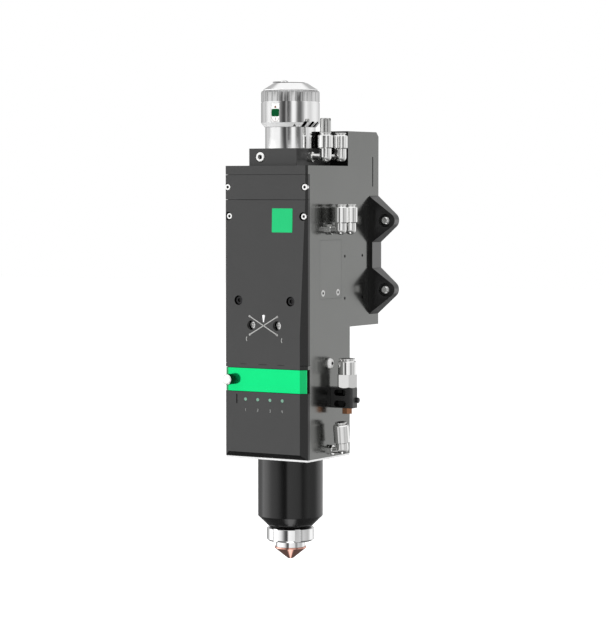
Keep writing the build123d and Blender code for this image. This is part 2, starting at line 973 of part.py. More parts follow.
# Indicator lights: four clear pins in the lower cover, and the board that lights them
with BuildPart() as indicator_lights:
    for index in range(light_count):
        x = (index - (light_count - 1) / 2) * light_pitch
        bar(
            (x, front_y - light_proud, light_z), "y", light_proud + cover_thickness + light_tail,
            light_radius,
        )
indicator_lights.part.label = "indicator_lights"
export_step(indicator_lights.part, "parts/indicator_lights.step")

with BuildPart() as indicator_board:
    block_between(
        (-light_board_half, light_board_half),
        (parting_y + light_tail, parting_y + light_tail + board_thickness),
        (light_z - light_board_height / 2, light_z + light_board_height / 2),
    )
    for side in (-1, 1):
        bar(
            (
                side * (light_board_half - light_socket_inset),
                parting_y + light_tail + board_thickness,
                light_z,
            ),
            "y",
            light_socket_length,
            light_socket_radius,
        )
indicator_board.part.label = "indicator_board"
export_step(indicator_board.part, "parts/indicator_board.step")

# Side service cover, flush with the housing's side, and its two countersunk screws
with BuildPart() as side_service_cover:
    block_between(
        (half_width - side_cover_thickness, half_width),
        (
            axis_y + side_cover_front + cover_seam / 2,
            axis_y + side_cover_back - cover_seam / 2,
        ),
        (
            underside_z + side_cover_z + cover_seam / 2,
            underside_z + side_cover_z + side_cover_height - cover_seam / 2,
        ),
    )
    for y in side_screw_y:
        turned_along_x(
            (
                (0, half_width - side_cover_thickness),
                (cap_shank_radius + thread_clearance, half_width - side_cover_thickness),
                (cap_shank_radius + thread_clearance, half_width - side_screw_head),
                (side_screw_radius + thread_clearance, half_width - side_screw_edge / 2),
                (side_screw_radius + thread_clearance, half_width),
                (0, half_width),
            ),
            axis_y + y,
            side_screw_z,
            mode=Mode.SUBTRACT,
        )
side_service_cover.part.label = "side_service_cover"
export_step(side_service_cover.part, "parts/side_service_cover.step")

with BuildPart() as side_cover_screws:
    for y in side_screw_y:
        turned_along_x(
            (
                (0, half_width - side_screw_length),
                (cap_shank_radius, half_width - side_screw_length),
                (cap_shank_radius, half_width - side_screw_head),
                (side_screw_radius, half_width - side_screw_edge),
                (side_screw_radius, half_width),
                (0, half_width),
            ),
            axis_y + y,
            side_screw_z,
        )
        with BuildSketch(
            Plane(origin=(half_width, axis_y + y, side_screw_z), z_dir=(-1, 0, 0))
        ) as socket:
            RegularPolygon(side_hex_radius, 6)
        extrude(socket.sketch, amount=side_hex_depth, mode=Mode.SUBTRACT)
side_cover_screws.part.label = "side_cover_screws"
export_step(side_cover_screws.part, "parts/side_cover_screws.step")

# Button screw low on the side
with BuildPart() as side_button_screw:
    button_top_x = half_width + button_screw_height
    turned_along_x(
        (
            (0, half_width - button_shank_length),
            (button_shank_radius, half_width - button_shank_length),
            (button_shank_radius, half_width),
            (button_screw_radius, half_width),
            (button_screw_radius, half_width + button_rim_height),
            (button_screw_radius - button_shoulder_inset, button_top_x - button_shoulder_drop),
            (button_flat_radius, button_top_x),
            (0, button_top_x),
        ),
        axis_y + button_screw_y,
        button_z,
    )
    with BuildSketch(
        Plane(origin=(button_top_x, axis_y + button_screw_y, button_z), z_dir=(-1, 0, 0))
    ) as socket:
        RegularPolygon(button_hex_radius, 6)
    extrude(socket.sketch, amount=button_hex_depth, mode=Mode.SUBTRACT)
side_button_screw.part.label = "side_button_screw"
export_step(side_button_screw.part, "parts/side_button_screw.step")

# Window drawer: the coloured front
with BuildPart() as drawer_front:
    covered_front(drawer_side_inset)
    block_between(
        (-half_width, half_width),
        (front_y, front_y + drawer_front_thickness),
        (drawer_bottom, drawer_top),
        mode=Mode.INTERSECT,
    )
    block_between(
        (-half_width + drawer_boss_inset, half_width - drawer_boss_inset),
        (front_y + drawer_front_thickness, parting_y - drawer_seam),
        (drawer_bottom + drawer_boss_drop, drawer_top - drawer_boss_drop),
    )
    bar(
        (thumb_screw_x, front_y, drawer_middle), "y", cover_thickness,
        thumb_shank_radius + running_clearance, Mode.SUBTRACT,
    )
drawer_front.part.label = "drawer_front"
export_step(drawer_front.part, "parts/drawer_front.step")

# Window tray, which slides into the housing behind the front
with BuildPart() as window_tray:
    block_between(
        (-tray_half_width, tray_half_width),
        (parting_y - drawer_seam, axis_y + tray_back),
        (drawer_middle - tray_height / 2, drawer_middle + tray_height / 2),
    )
    chamfer(
        window_tray.edges().filter_by(Axis.Z).group_by(Axis.Y)[-1],
        length=tray_corner,
    )
    bar(
        (0, axis_y, drawer_middle - tray_height / 2), "z", tray_height,
        window_radius - window_lip, Mode.SUBTRACT,
    )
    bar(
        (0, axis_y, drawer_middle - window_thickness), "z", tray_height,
        window_radius + lens_clearance, Mode.SUBTRACT,
    )
window_tray.part.label = "window_tray"
export_step(window_tray.part, "parts/window_tray.step")

with BuildPart() as protective_window:
    bar((0, axis_y, drawer_middle - window_thickness), "z", window_thickness, window_radius)
protective_window.part.label = "protective_window"
export_step(protective_window.part, "parts/protective_window.step")

with BuildPart() as window_seal:
    bar((0, axis_y, drawer_middle), "z", window_seal_height, window_radius)
    bar(
        (0, axis_y, drawer_middle), "z", window_seal_height,
        window_radius - window_seal_width, Mode.SUBTRACT,
    )
window_seal.part.label = "window_seal"
export_step(window_seal.part, "parts/window_seal.step")

# Thumb screw: captive in the drawer's front
with BuildPart() as thumb_screw:
    head_back_y = front_y - thumb_stand_off
    turned_along_y(
        (
            (0, head_back_y - thumb_head_length),
            (thumb_head_radius - thumb_front_edge, head_back_y - thumb_head_length),
            (thumb_head_radius, head_back_y - thumb_head_length + thumb_front_edge),
            (thumb_head_radius, head_back_y - thumb_back_edge),
            (thumb_head_radius - thumb_back_edge, head_back_y),
            (thumb_neck_radius, head_back_y),
            (thumb_neck_radius, front_y - running_clearance),
            (thumb_shank_radius, front_y - running_clearance),
            (thumb_shank_radius, parting_y + thumb_shank_reach),
            (0, parting_y + thumb_shank_reach),
        ),
        thumb_screw_x,
        drawer_middle,
    )
thumb_screw.part.label = "thumb_screw"
export_step(thumb_screw.part, "parts/thumb_screw.step")

# Centring adjusters
for name, side in (("adjuster_left", -1), ("adjuster_right", 1)):
    with BuildPart() as adjuster:
        head_y = front_face_y(adjuster_z) + adjuster_recess
        seat_y = head_y + adjuster_head_length - running_clearance
        tip_y = axis_y - stage_half_depth - stage_tip_gap
        turned_along_y(
            (
                (0, head_y),
                (adjuster_head_radius - adjuster_edge, head_y),
                (adjuster_head_radius, head_y + adjuster_edge),
                (adjuster_head_radius, seat_y),
                (adjuster_shank_radius, seat_y),
                (adjuster_shank_radius, tip_y - adjuster_point),
                (adjuster_shank_radius - adjuster_point, tip_y),
                (0, tip_y),
            ),
            side * adjuster_x,
            adjuster_z,
        )
        with BuildSketch(
            Plane(origin=(side * adjuster_x, head_y, adjuster_z), z_dir=(0, 1, 0))
        ) as socket:
            RegularPolygon(adjuster_hex_radius, 6)
        extrude(socket.sketch, amount=adjuster_hex_depth, mode=Mode.SUBTRACT)
    adjuster.part.label = name
    export_step(adjuster.part, f"parts/{name}.step")

# Centring frame: the lower slide, with a lug in front of the left adjuster
frame_bottom = stage_bottom + slide_gap
frame_top = frame_bottom + frame_plate_thickness
cell_bottom = frame_top + slide_gap
cell_top = cell_bottom + cell_height
lug_top = stage_top - lug_headroom
with BuildPart() as centring_frame:
    block_between(
        (-stage_half_width, stage_half_width),
        (axis_y - stage_half_depth, axis_y + stage_half_depth),
        (frame_bottom, frame_top),
    )
    chamfer(centring_frame.edges().filter_by(Axis.Z), length=stage_corner)
    block_between(
        (-adjuster_x - lug_width / 2, -adjuster_x + lug_width / 2),
        (axis_y - stage_half_depth, axis_y - stage_half_depth + lug_depth),
        (frame_top, lug_top),
    )
    bar((0, axis_y, frame_bottom), "z", frame_plate_thickness, beam_bore_radius, Mode.SUBTRACT)
centring_frame.part.label = "centring_frame"
export_step(centring_frame.part, "parts/centring_frame.step")

# Focus lens cell: the upper slide, with a lug in front of the right adjuster
with BuildPart() as focus_lens_cell:
    block_between(
        (-cell_half_width, cell_half_width),
        (axis_y - cell_half_depth + lug_depth / 2, axis_y + cell_half_depth),
        (cell_bottom, cell_top),
    )
    chamfer(focus_lens_cell.edges().filter_by(Axis.Z), length=stage_corner)
    block_between(
        (adjuster_x - lug_width / 2, adjuster_x + lug_width / 2),
        (axis_y - stage_half_depth, axis_y - cell_half_depth + lug_depth),
        (cell_bottom, lug_top),
    )
    bar((0, axis_y, cell_bottom), "z", cell_height, focus_bore_radius, Mode.SUBTRACT)
    bar(
        (0, axis_y, cell_bottom + lens_seat_lip), "z", cell_height,
        lens_radius + lens_clearance, Mode.SUBTRACT,
    )
focus_lens_cell.part.label = "focus_lens_cell"
export_step(focus_lens_cell.part, "parts/focus_lens_cell.step")


def lens(bottom):
    """A lens: a flat face below and a bulged face above."""
    rise = lens_thickness / 2
    ball = (lens_radius**2 + rise**2) / (2 * rise)
    top = bottom + lens_thickness
    half_angle = math.asin(lens_radius / ball) / 2
    on_arc = (ball * math.sin(half_angle), top - ball * (1 - math.cos(half_angle)))
    with BuildSketch(Plane(origin=(0, axis_y, 0), x_dir=(1, 0, 0), z_dir=(0, -1, 0))) as half:
        with BuildLine():
            Polyline((0, top), (0, bottom), (lens_radius, bottom), (lens_radius, top - rise))
            ThreePointArc((lens_radius, top - rise), on_arc, (0, top))
        make_face()
    revolve(half.sketch, axis=Axis((0, axis_y, 0), (0, 0, 1)))


def lens_ring(bottom):
    """A threaded ring that holds a lens down at its rim."""
    turned(
        (
            (lens_radius - lens_ring_width, bottom),
            (lens_radius, bottom),
            (lens_radius, bottom + lens_ring_height),
            (lens_radius - lens_ring_width, bottom + lens_ring_height),
        ),
        0,
        axis_y,
    )


focus_lens_bottom = cell_bottom + lens_seat_lip
with BuildPart() as focusing_lens:
    lens(focus_lens_bottom)
focusing_lens.part.label = "focusing_lens"
export_step(focusing_lens.part, "parts/focusing_lens.step")

with BuildPart() as focus_lens_ring:
    lens_ring(focus_lens_bottom + lens_thickness)
focus_lens_ring.part.label = "focus_lens_ring"
export_step(focus_lens_ring.part, "parts/focus_lens_ring.step")

# Collimator carriage on two guide rods, moved by the lead screw
carriage_top = carriage_bottom + carriage_height
with BuildPart() as collimator_carriage:
    block_between(
        (-carriage_half_width, carriage_half_width),
        (axis_y - carriage_front, axis_y + carriage_back),
        (carriage_bottom, carriage_top),
    )
    chamfer(
        collimator_carriage.edges().filter_by(Axis.Z).group_by(Axis.Y)[0],
        length=carriage_front_corner,
    )
    chamfer(
        collimator_carriage.edges().filter_by(Axis.Z).group_by(Axis.Y)[-1],
        length=carriage_back_corner,
    )
    bar((0, axis_y, carriage_bottom), "z", cell_tube_height, cell_tube_radius)
    bar((0, axis_y, carriage_bottom), "z", cell_tube_height, collimator_bore_radius, Mode.SUBTRACT)
    bar(
        (0, axis_y, carriage_bottom + lens_seat_lip), "z", cell_tube_height,
        lens_radius + lens_clearance, Mode.SUBTRACT,
    )
    for side in (-1, 1):
        bar(
            (side * rod_x, axis_y + rod_behind_axis, carriage_bottom), "z", carriage_height,
            rod_radius + running_clearance, Mode.SUBTRACT,
        )
    bar((0, screw_y, carriage_bottom), "z", carriage_height, nut_radius + thread_clearance, Mode.SUBTRACT)
collimator_carriage.part.label = "collimator_carriage"
export_step(collimator_carriage.part, "parts/collimator_carriage.step")

collimating_bottom = carriage_bottom + lens_seat_lip
with BuildPart() as collimating_lens:
    lens(collimating_bottom)
collimating_lens.part.label = "collimating_lens"
export_step(collimating_lens.part, "parts/collimating_lens.step")

with BuildPart() as collimator_ring:
    lens_ring(collimating_bottom + lens_thickness)
collimator_ring.part.label = "collimator_ring"
export_step(collimator_ring.part, "parts/collimator_ring.step")

with BuildPart() as lead_nut:
    nut_bottom = carriage_bottom - nut_flange_height
    turned(
        (
            (screw_radius + running_clearance, nut_bottom),
            (nut_flange_radius, nut_bottom),
            (nut_flange_radius, carriage_bottom),
            (nut_radius, carriage_bottom),
            (nut_radius, carriage_top),
            (screw_radius + running_clearance, carriage_top),
        ),
        0,
        screw_y,
    )
lead_nut.part.label = "lead_nut"
export_step(lead_nut.part, "parts/lead_nut.step")

with BuildPart() as guide_rods:
    for side in (-1, 1):
        bar(
            (side * rod_x, axis_y + rod_behind_axis, room_bottom - rod_socket), "z",
            room_top - room_bottom + 2 * rod_socket, rod_radius,
        )
guide_rods.part.label = "guide_rods"
export_step(guide_rods.part, "parts/guide_rods.step")

# Focus motor under the ceiling, its lead screw, and the bearing at the screw's lower end
with BuildPart() as focus_motor:
    block_between(
        (-motor_side / 2, motor_side / 2),
        (screw_y - motor_side / 2, screw_y + motor_side / 2),
        (motor_bottom, room_top),
    )
    chamfer(focus_motor.edges().filter_by(Axis.Z), length=motor_corner)
    bar((0, screw_y, motor_bottom), "z", motor_socket, screw_radius + running_clearance, Mode.SUBTRACT)
focus_motor.part.label = "focus_motor"
export_step(focus_motor.part, "parts/focus_motor.step")

with BuildPart() as lead_screw:
    screw_foot = room_bottom - bearing_seat_depth + screw_foot_gap
    screw_head = motor_bottom + motor_socket - screw_top_gap
    bar((0, screw_y, screw_foot), "z", screw_head - screw_foot, screw_radius)
lead_screw.part.label = "lead_screw"
export_step(lead_screw.part, "parts/lead_screw.step")

with BuildPart() as screw_bearing:
    bearing_bottom = room_bottom - bearing_seat_depth
    turned(
        (
            (screw_radius + running_clearance, bearing_bottom),
            (bearing_radius, bearing_bottom),
            (bearing_radius, bearing_bottom + bearing_height),
            (screw_radius + running_clearance, bearing_bottom + bearing_height),
        ),
        0,
        screw_y,
    )
screw_bearing.part.label = "screw_bearing"
export_step(screw_bearing.part, "parts/screw_bearing.step")

# Control connector, sunk in the top of the rear section
with BuildPart() as control_connector:
    bar((0, connector_y, connector_top_z - connector_depth), "z", connector_depth, connector_radius)
    bar(
        (0, connector_y, connector_top_z - connector_depth / 2), "z", connector_depth / 2,
        connector_radius - connector_shell, Mode.SUBTRACT,
    )
    for index in range(connector_pins):
        angle = 2 * math.pi * index / connector_pins
        bar(
            (
                connector_pin_circle * math.cos(angle),
                connector_y + connector_pin_circle * math.sin(angle),
                connector_top_z - connector_depth / 2,
            ),
            "z",
            connector_depth / 2 - connector_pin_drop,
            connector_pin_radius,
        )
control_connector.part.label = "control_connector"
export_step(control_connector.part, "parts/control_connector.step")

# Mounting plate: let into the housing's back, with four sloping ears
tip_x = stud_spacing_x / 2 + ear_tip_radius / math.sin(math.radians(ear_slope))
waist_x = half_width + plate_waist_proud
slope = math.tan(math.radians(ear_slope))
upper_stud_z = stud_spacing_z / 2
waist_z = upper_stud_z - (tip_x - waist_x) * slope
with BuildPart() as mounting_plate:
    with BuildSketch(Plane.XZ) as plate_face:
        with BuildLine():
            Polyline(
                (half_width, ear_root_z),
                (tip_x, upper_stud_z),
                (waist_x, waist_z),
                (waist_x, -waist_z),
                (tip_x, -upper_stud_z),
                (half_width, -ear_root_z),
                (-half_width, -ear_root_z),
                (-tip_x, -upper_stud_z),
                (-waist_x, -waist_z),
                (-waist_x, waist_z),
                (-tip_x, upper_stud_z),
                (-half_width, ear_root_z),
                close=True,
            )
        make_face()
        tips = [v for v in plate_face.vertices() if abs(v.X) > waist_x + cut_margin]
        fillet(tips, radius=ear_tip_radius)
    extrude(plate_face.sketch, amount=plate_thickness)
    # the ears' front faces slant back towards the tips
    for side in (-1, 1):
        with BuildSketch(Plane.XY.offset(-ear_root_z)) as taper:
            with BuildLine():
                Polyline(
                    (side * waist_x, -plate_thickness),
                    (side * (stud_spacing_x / 2 + ear_tip_radius), -plate_thickness + ear_front_taper),
                    (side * (tip_x + cut_margin), -plate_thickness + ear_front_taper),
                    (side * (tip_x + cut_margin), -plate_thickness - cut_margin),
                    (side * waist_x, -plate_thickness - cut_margin),
                    close=True,
                )
            make_face()
        extrude(taper.sketch, amount=2 * ear_root_z, mode=Mode.SUBTRACT)
    for side in (-1, 1):
        for end in (-1, 1):
            stud_face_x = stud_spacing_x / 2
            face_y = -plate_thickness + ear_front_taper * (stud_face_x - waist_x) / (
                stud_face_x + ear_tip_radius - waist_x
            )
            bar(
                (side * stud_face_x, -plate_thickness, end * upper_stud_z), "y",
                face_y + spot_face_depth + plate_thickness, spot_face_radius, Mode.SUBTRACT,
            )
            bar(
                (side * stud_face_x, -plate_thickness, end * upper_stud_z), "y",
                plate_thickness, stud_grip_radius + stud_fit, Mode.SUBTRACT,
            )
            bar(
                (side * plate_screw_x, -plate_thickness, end * plate_screw_z), "y",
                plate_thickness, plate_screw_radius + thread_clearance, Mode.SUBTRACT,
            )
            bar(
                (side * plate_screw_x, plate_head_y, end * plate_screw_z), "y", -plate_head_y,
                plate_sink_radius, Mode.SUBTRACT,
            )
mounting_plate.part.label = "mounting_plate"
export_step(mounting_plate.part, "parts/mounting_plate.step")

with BuildPart() as plate_screws:
    for side in (-1, 1):
        for end in (-1, 1):
            turned_along_y(
                (
                    (0, plate_front_y - plate_screw_reach),
                    (plate_screw_radius, plate_front_y - plate_screw_reach),
                    (plate_screw_radius, plate_head_y),
                    (plate_head_radius, plate_head_y),
                    (plate_head_radius, -plate_head_sink),
                    (0, -plate_head_sink),
                ),
                side * plate_screw_x,
                end * plate_screw_z,
            )
            with BuildSketch(
                Plane(
                    origin=(side * plate_screw_x, -plate_head_sink, end * plate_screw_z),
                    z_dir=(0, -1, 0),
                )
            ) as socket:
                RegularPolygon(plate_hex_radius, 6)
            extrude(socket.sketch, amount=plate_hex_depth, mode=Mode.SUBTRACT)
plate_screws.part.label = "plate_screws"
export_step(plate_screws.part, "parts/plate_screws.step")

with BuildPart() as mounting_studs:
    spot_y = face_y + spot_face_depth
    for side in (-1, 1):
        for end in (-1, 1):
            turned_along_y(
                (
                    (0, spot_y - stud_front),
                    (stud_grip_radius - stud_chamfer, spot_y - stud_front),
                    (stud_grip_radius, spot_y - stud_front + stud_chamfer),
                    (stud_grip_radius, 0),
                    (stud_radius, 0),
                    (stud_radius, stud_rear - stud_chamfer),
                    (stud_radius - stud_chamfer, stud_rear),
                    (0, stud_rear),
                ),
                side * stud_spacing_x / 2,
                end * upper_stud_z,
            )
mounting_studs.part.label = "mounting_studs"
export_step(mounting_studs.part, "parts/mounting_studs.step")

# Base plate: thin and bright, between the housing and the sensor
base_plate_z = underside_z - base_plate_thickness
with BuildPart() as base_plate:
    block_between(
        (-half_width, half_width), (corner_y, body_back_y), (base_plate_z, underside_z)
    )
    bar((0, axis_y, base_plate_z), "z", base_plate_thickness, beam_bore_radius, Mode.SUBTRACT)
base_plate.part.label = "base_plate"
export_step(base_plate.part, "parts/base_plate.step")

# Sensor body: a thick tube that tapers to a threaded nose
sensor_bottom_z = base_plate_z - sensor_length - sensor_cone_length
cone_top_z = sensor_bottom_z + sensor_cone_length
nose_z = sensor_bottom_z - nose_length
with BuildPart() as sensor_body:
    spigot_radius = beam_bore_radius - spigot_clearance
    turned(
        (
            (sensor_bore_radius, underside_z + sensor_spigot),
            (spigot_radius, underside_z + sensor_spigot),
            (spigot_radius, base_plate_z),
            (sensor_radius, base_plate_z),
            (sensor_radius, cone_top_z),
            (sensor_cone_end_radius, sensor_bottom_z),
            (nose_radius, sensor_bottom_z),
            (nose_radius, nose_z),
            (nose_bore_radius, nose_z),
            (nose_bore_radius, sensor_bottom_z),
            (sensor_bore_radius, cone_top_z),
        ),
        0,
        axis_y,
    )
sensor_body.part.label = "sensor_body"
export_step(sensor_body.part, "parts/sensor_body.step")

# Lock nut: screwed on the nose, it clamps the ceramic by its flange
nut_top_z = sensor_bottom_z + lock_nut_overlap
nut_bottom_z = nut_top_z - lock_nut_height
nut_mouth_radius = sensor_cone_end_radius + lock_nut_mouth_gap
ceramic_flange_top = nose_z
with BuildPart() as lock_nut:
    turned(
        (
            (nut_mouth_radius, nut_top_z),
            (lock_nut_radius - lock_nut_edge, nut_top_z),
            (lock_nut_radius, nut_top_z - lock_nut_edge),
            (lock_nut_radius, nut_bottom_z + lock_nut_chamfer),
            (lock_nut_radius - lock_nut_chamfer, nut_bottom_z),
            (ceramic_radius + ceramic_clearance, nut_bottom_z),
            (ceramic_radius + ceramic_clearance, ceramic_flange_top - ceramic_flange_height),
            (nose_radius + thread_clearance, ceramic_flange_top - ceramic_flange_height),
            (nose_radius + thread_clearance, sensor_bottom_z - lock_nut_floor_gap),
            (nut_mouth_radius, sensor_bottom_z - lock_nut_floor_gap),
        ),
        0,
        axis_y,
    )
    with BuildSketch(Plane.XY.offset(nut_bottom_z)) as slots:
        with Locations((0, axis_y)):
            with PolarLocations(lock_nut_radius, lock_nut_slots, start_angle=lock_nut_slot_turn):
                Rectangle(2 * lock_nut_slot_depth, lock_nut_slot_width)
    extrude(slots.sketch, amount=lock_nut_height, mode=Mode.SUBTRACT)
lock_nut.part.label = "lock_nut"
export_step(lock_nut.part, "parts/lock_nut.step")

# Ceramic body: insulates the nozzle
ceramic_bottom_z = nut_bottom_z - ceramic_drop
with BuildPart() as ceramic_body:
    turned(
        (
            (ceramic_bore_radius, ceramic_bottom_z),
            (ceramic_radius, ceramic_bottom_z),
            (ceramic_radius, ceramic_flange_top - ceramic_flange_height),
            (ceramic_flange_radius, ceramic_flange_top - ceramic_flange_height),
            (ceramic_flange_radius, ceramic_flange_top),
            (ceramic_spigot_radius, ceramic_flange_top),
            (ceramic_spigot_radius, ceramic_flange_top + ceramic_spigot_height),
            (ceramic_bore_radius, ceramic_flange_top + ceramic_spigot_height),
        ),
        0,
        axis_y,
    )
ceramic_body.part.label = "ceramic_body"
export_step(ceramic_body.part, "parts/ceramic_body.step")

# Nozzle: a copper cone with a fine hole
tip_z = ceramic_bottom_z - nozzle_height
with BuildPart() as nozzle:
    turned(
        (
            (orifice_radius, tip_z),
            (nozzle_tip_radius, tip_z),
            (nozzle_radius, ceramic_bottom_z - nozzle_rim),
            (nozzle_radius, ceramic_bottom_z),
            (nozzle_thread_radius, ceramic_bottom_z),
            (nozzle_thread_radius, ceramic_bottom_z + nozzle_thread_height),
            (nozzle_inlet_radius, ceramic_bottom_z + nozzle_thread_height),
            (orifice_radius, tip_z + orifice_length),
        ),
        0,
        axis_y,
    )
nozzle.part.label = "nozzle"
export_step(nozzle.part, "parts/nozzle.step")

# Top block: carries the fibre socket and the notch's two ports
with BuildPart() as top_block:
    block_between(
        (-block_half_width, block_half_width),
        (axis_y - block_front, axis_y + block_back),
        (front_top_z, block_top_z),
    )
    bar(
        (0, axis_y, front_top_z), "z", block_height, socket_spigot_radius + thread_clearance,
        Mode.SUBTRACT,
    )
    bar(
        (clamp_screw_x, axis_y - block_front, clamp_z), "y", clamp_head_height - clamp_head_proud,
        clamp_sink_radius, Mode.SUBTRACT,
    )
    bar(
        (clamp_screw_x, axis_y - block_front, clamp_z), "y",
        clamp_head_height - clamp_head_proud + clamp_grip, clamp_shank_radius + thread_clearance,
        Mode.SUBTRACT,
    )
    for y in notch_elbow_y:
        bar(
            (block_half_width - leg_thread_length, y, notch_leg_z), "x", leg_thread_length,
            leg_thread_radius + running_clearance, Mode.SUBTRACT,
        )
top_block.part.label = "top_block"
export_step(top_block.part, "parts/top_block.step")

with BuildPart() as clamp_screw:
    clamp_face_y = axis_y - block_front - clamp_head_proud
    clamp_under_y = clamp_face_y + clamp_head_height
    turned_along_y(
        (
            (0, clamp_face_y),
            (clamp_head_radius - clamp_head_edge, clamp_face_y),
            (clamp_head_radius, clamp_face_y + clamp_head_edge),
            (clamp_head_radius, clamp_under_y),
            (clamp_shank_radius, clamp_under_y),
            (clamp_shank_radius, clamp_under_y + clamp_grip - drill_spare),
            (0, clamp_under_y + clamp_grip - drill_spare),
        ),
        clamp_screw_x,
        clamp_z,
    )
    with BuildSketch(
        Plane(origin=(clamp_screw_x, clamp_face_y, clamp_z), z_dir=(0, 1, 0))
    ) as socket:
        RegularPolygon(clamp_hex_radius, 6)
    extrude(socket.sketch, amount=clamp_hex_depth, mode=Mode.SUBTRACT)
clamp_screw.part.label = "clamp_screw"
export_step(clamp_screw.part, "parts/clamp_screw.step")

# Fibre socket body: a polished neck, with a barrel inside the lock ring
barrel_top_z = ring_top_z - ring_lip_height
with BuildPart() as fibre_socket_body:
    turned(
        (
            (socket_floor_radius, front_top_z + socket_foot_gap),
            (socket_spigot_radius, front_top_z + socket_foot_gap),
            (socket_spigot_radius, block_top_z),
            (neck_radius, block_top_z),
            (neck_radius, ring_bottom_z),
            (socket_barrel_radius, ring_bottom_z),
            (socket_barrel_radius, barrel_top_z),
            (socket_bore_radius, barrel_top_z),
            (socket_bore_radius, barrel_top_z - socket_bore_depth),
            (socket_floor_radius, barrel_top_z - socket_bore_depth),
        ),
        0,
        axis_y,
    )
fibre_socket_body.part.label = "fibre_socket_body"
export_step(fibre_socket_body.part, "parts/fibre_socket_body.step")

# Lock ring: turns to lock the fibre's plug; a fluted grip, a groove, a marked window and slots
with BuildPart() as lock_ring:
    low = ring_bottom_z + ring_seat_gap
    groove_z = ring_bottom_z + ring_groove_rise
    bore = socket_barrel_radius + running_clearance
    lip_radius = socket_bore_radius + ring_lip_clearance
    round_middle = ring_top_round * (1 - math.sqrt(0.5))
    turned(
        (
            (bore, low),
            (neck_radius + ring_foot_step, low),
            (ring_radius, low + ring_chamfer),
            (ring_radius, groove_z),
            (ring_radius - ring_groove_depth, groove_z),
            (ring_radius - ring_groove_depth, groove_z + ring_groove_width),
            (ring_radius, groove_z + ring_groove_width),
            (ring_radius, ring_top_z - ring_top_round),
            (ring_radius - round_middle, ring_top_z - round_middle),
            (ring_radius - ring_top_round, ring_top_z),
            (lip_radius, ring_top_z),
            (lip_radius, barrel_top_z + ring_lip_gap),
            (bore, barrel_top_z + ring_lip_gap),
        ),
        0,
        axis_y,
    )
    with BuildSketch(Plane.XY.offset(groove_z + ring_groove_width)) as flutes:
        with Locations((0, axis_y)):
            with PolarLocations(ring_radius + ring_flute_radius - ring_flute_depth, ring_flute_count):
                Circle(ring_flute_radius)
    extrude(flutes.sketch, amount=ring_height, mode=Mode.SUBTRACT)
    block_between(
        (-window_mark_width / 2, window_mark_width / 2),
        (axis_y - ring_radius, axis_y - ring_radius + window_mark_depth),
        (
            ring_bottom_z + window_mark_rise,
            ring_bottom_z + window_mark_rise + window_mark_height,
        ),
        mode=Mode.SUBTRACT,
    )
    # slanted slots through the foot's cone
    for turn in ring_slot_turns:
        outward = (math.cos(math.radians(turn)), math.sin(math.radians(turn)), 0)
        sideways = (-outward[1], outward[0], 0)
        slot_floor = (outward[0] * ring_slot_floor, axis_y + outward[1] * ring_slot_floor, low)
        with BuildSketch(Plane(origin=slot_floor, x_dir=sideways, z_dir=outward)) as slot:
            with BuildLine():
                Polyline(
                    (-ring_slot_width / 2, 0),
                    (ring_slot_width / 2, 0),
                    (ring_slot_width / 2 + ring_slot_slant, ring_slot_height),
                    (-ring_slot_width / 2 + ring_slot_slant, ring_slot_height),
                    close=True,
                )
            make_face()
        extrude(slot.sketch, amount=ring_radius - ring_slot_floor + cut_margin, mode=Mode.SUBTRACT)
lock_ring.part.label = "lock_ring"
export_step(lock_ring.part, "parts/lock_ring.step")

# Dust cap: a shallow cone with an eye for its lanyard, and a stem in the socket
with BuildPart() as dust_cap:
    cap_low = ring_top_z + cap_lift_gap
    stem_z = barrel_top_z - cap_stem_length
    stem_radius = socket_bore_radius - cap_stem_clearance
    cap_top_z = cap_low + cap_rise
    turned(
        (
            (0, stem_z),
            (stem_radius - cap_stem_edge, stem_z),
            (stem_radius, stem_z + cap_stem_edge),
            (stem_radius, cap_low),
            (cap_rim_radius, cap_low),
            (cap_rim_radius, cap_low + cap_rim_height),
            (cap_top_radius, cap_top_z),
            (cap_groove_radius, cap_top_z),
            (cap_groove_radius, cap_top_z - cap_groove_depth),
            (cap_groove_radius - cap_groove_width, cap_top_z - cap_groove_depth),
            (cap_groove_radius - cap_groove_width, cap_top_z),
            (0, cap_top_z),
        ),
        0,
        axis_y,
    )
    eye_plane = Plane(
        origin=(cap_eye_x, axis_y + cap_eye_thickness / 2, cap_top_z),
        x_dir=(1, 0, 0),
        z_dir=(0, -1, 0),
    )
    with BuildSketch(eye_plane) as eye:
        Ellipse(cap_eye_radius, cap_eye_rise)
        Ellipse(cap_eye_radius - cap_eye_wall, cap_eye_rise - cap_eye_wall, mode=Mode.SUBTRACT)
    extrude(eye.sketch, amount=cap_eye_thickness)
dust_cap.part.label = "dust_cap"
export_step(dust_cap.part, "parts/dust_cap.step")


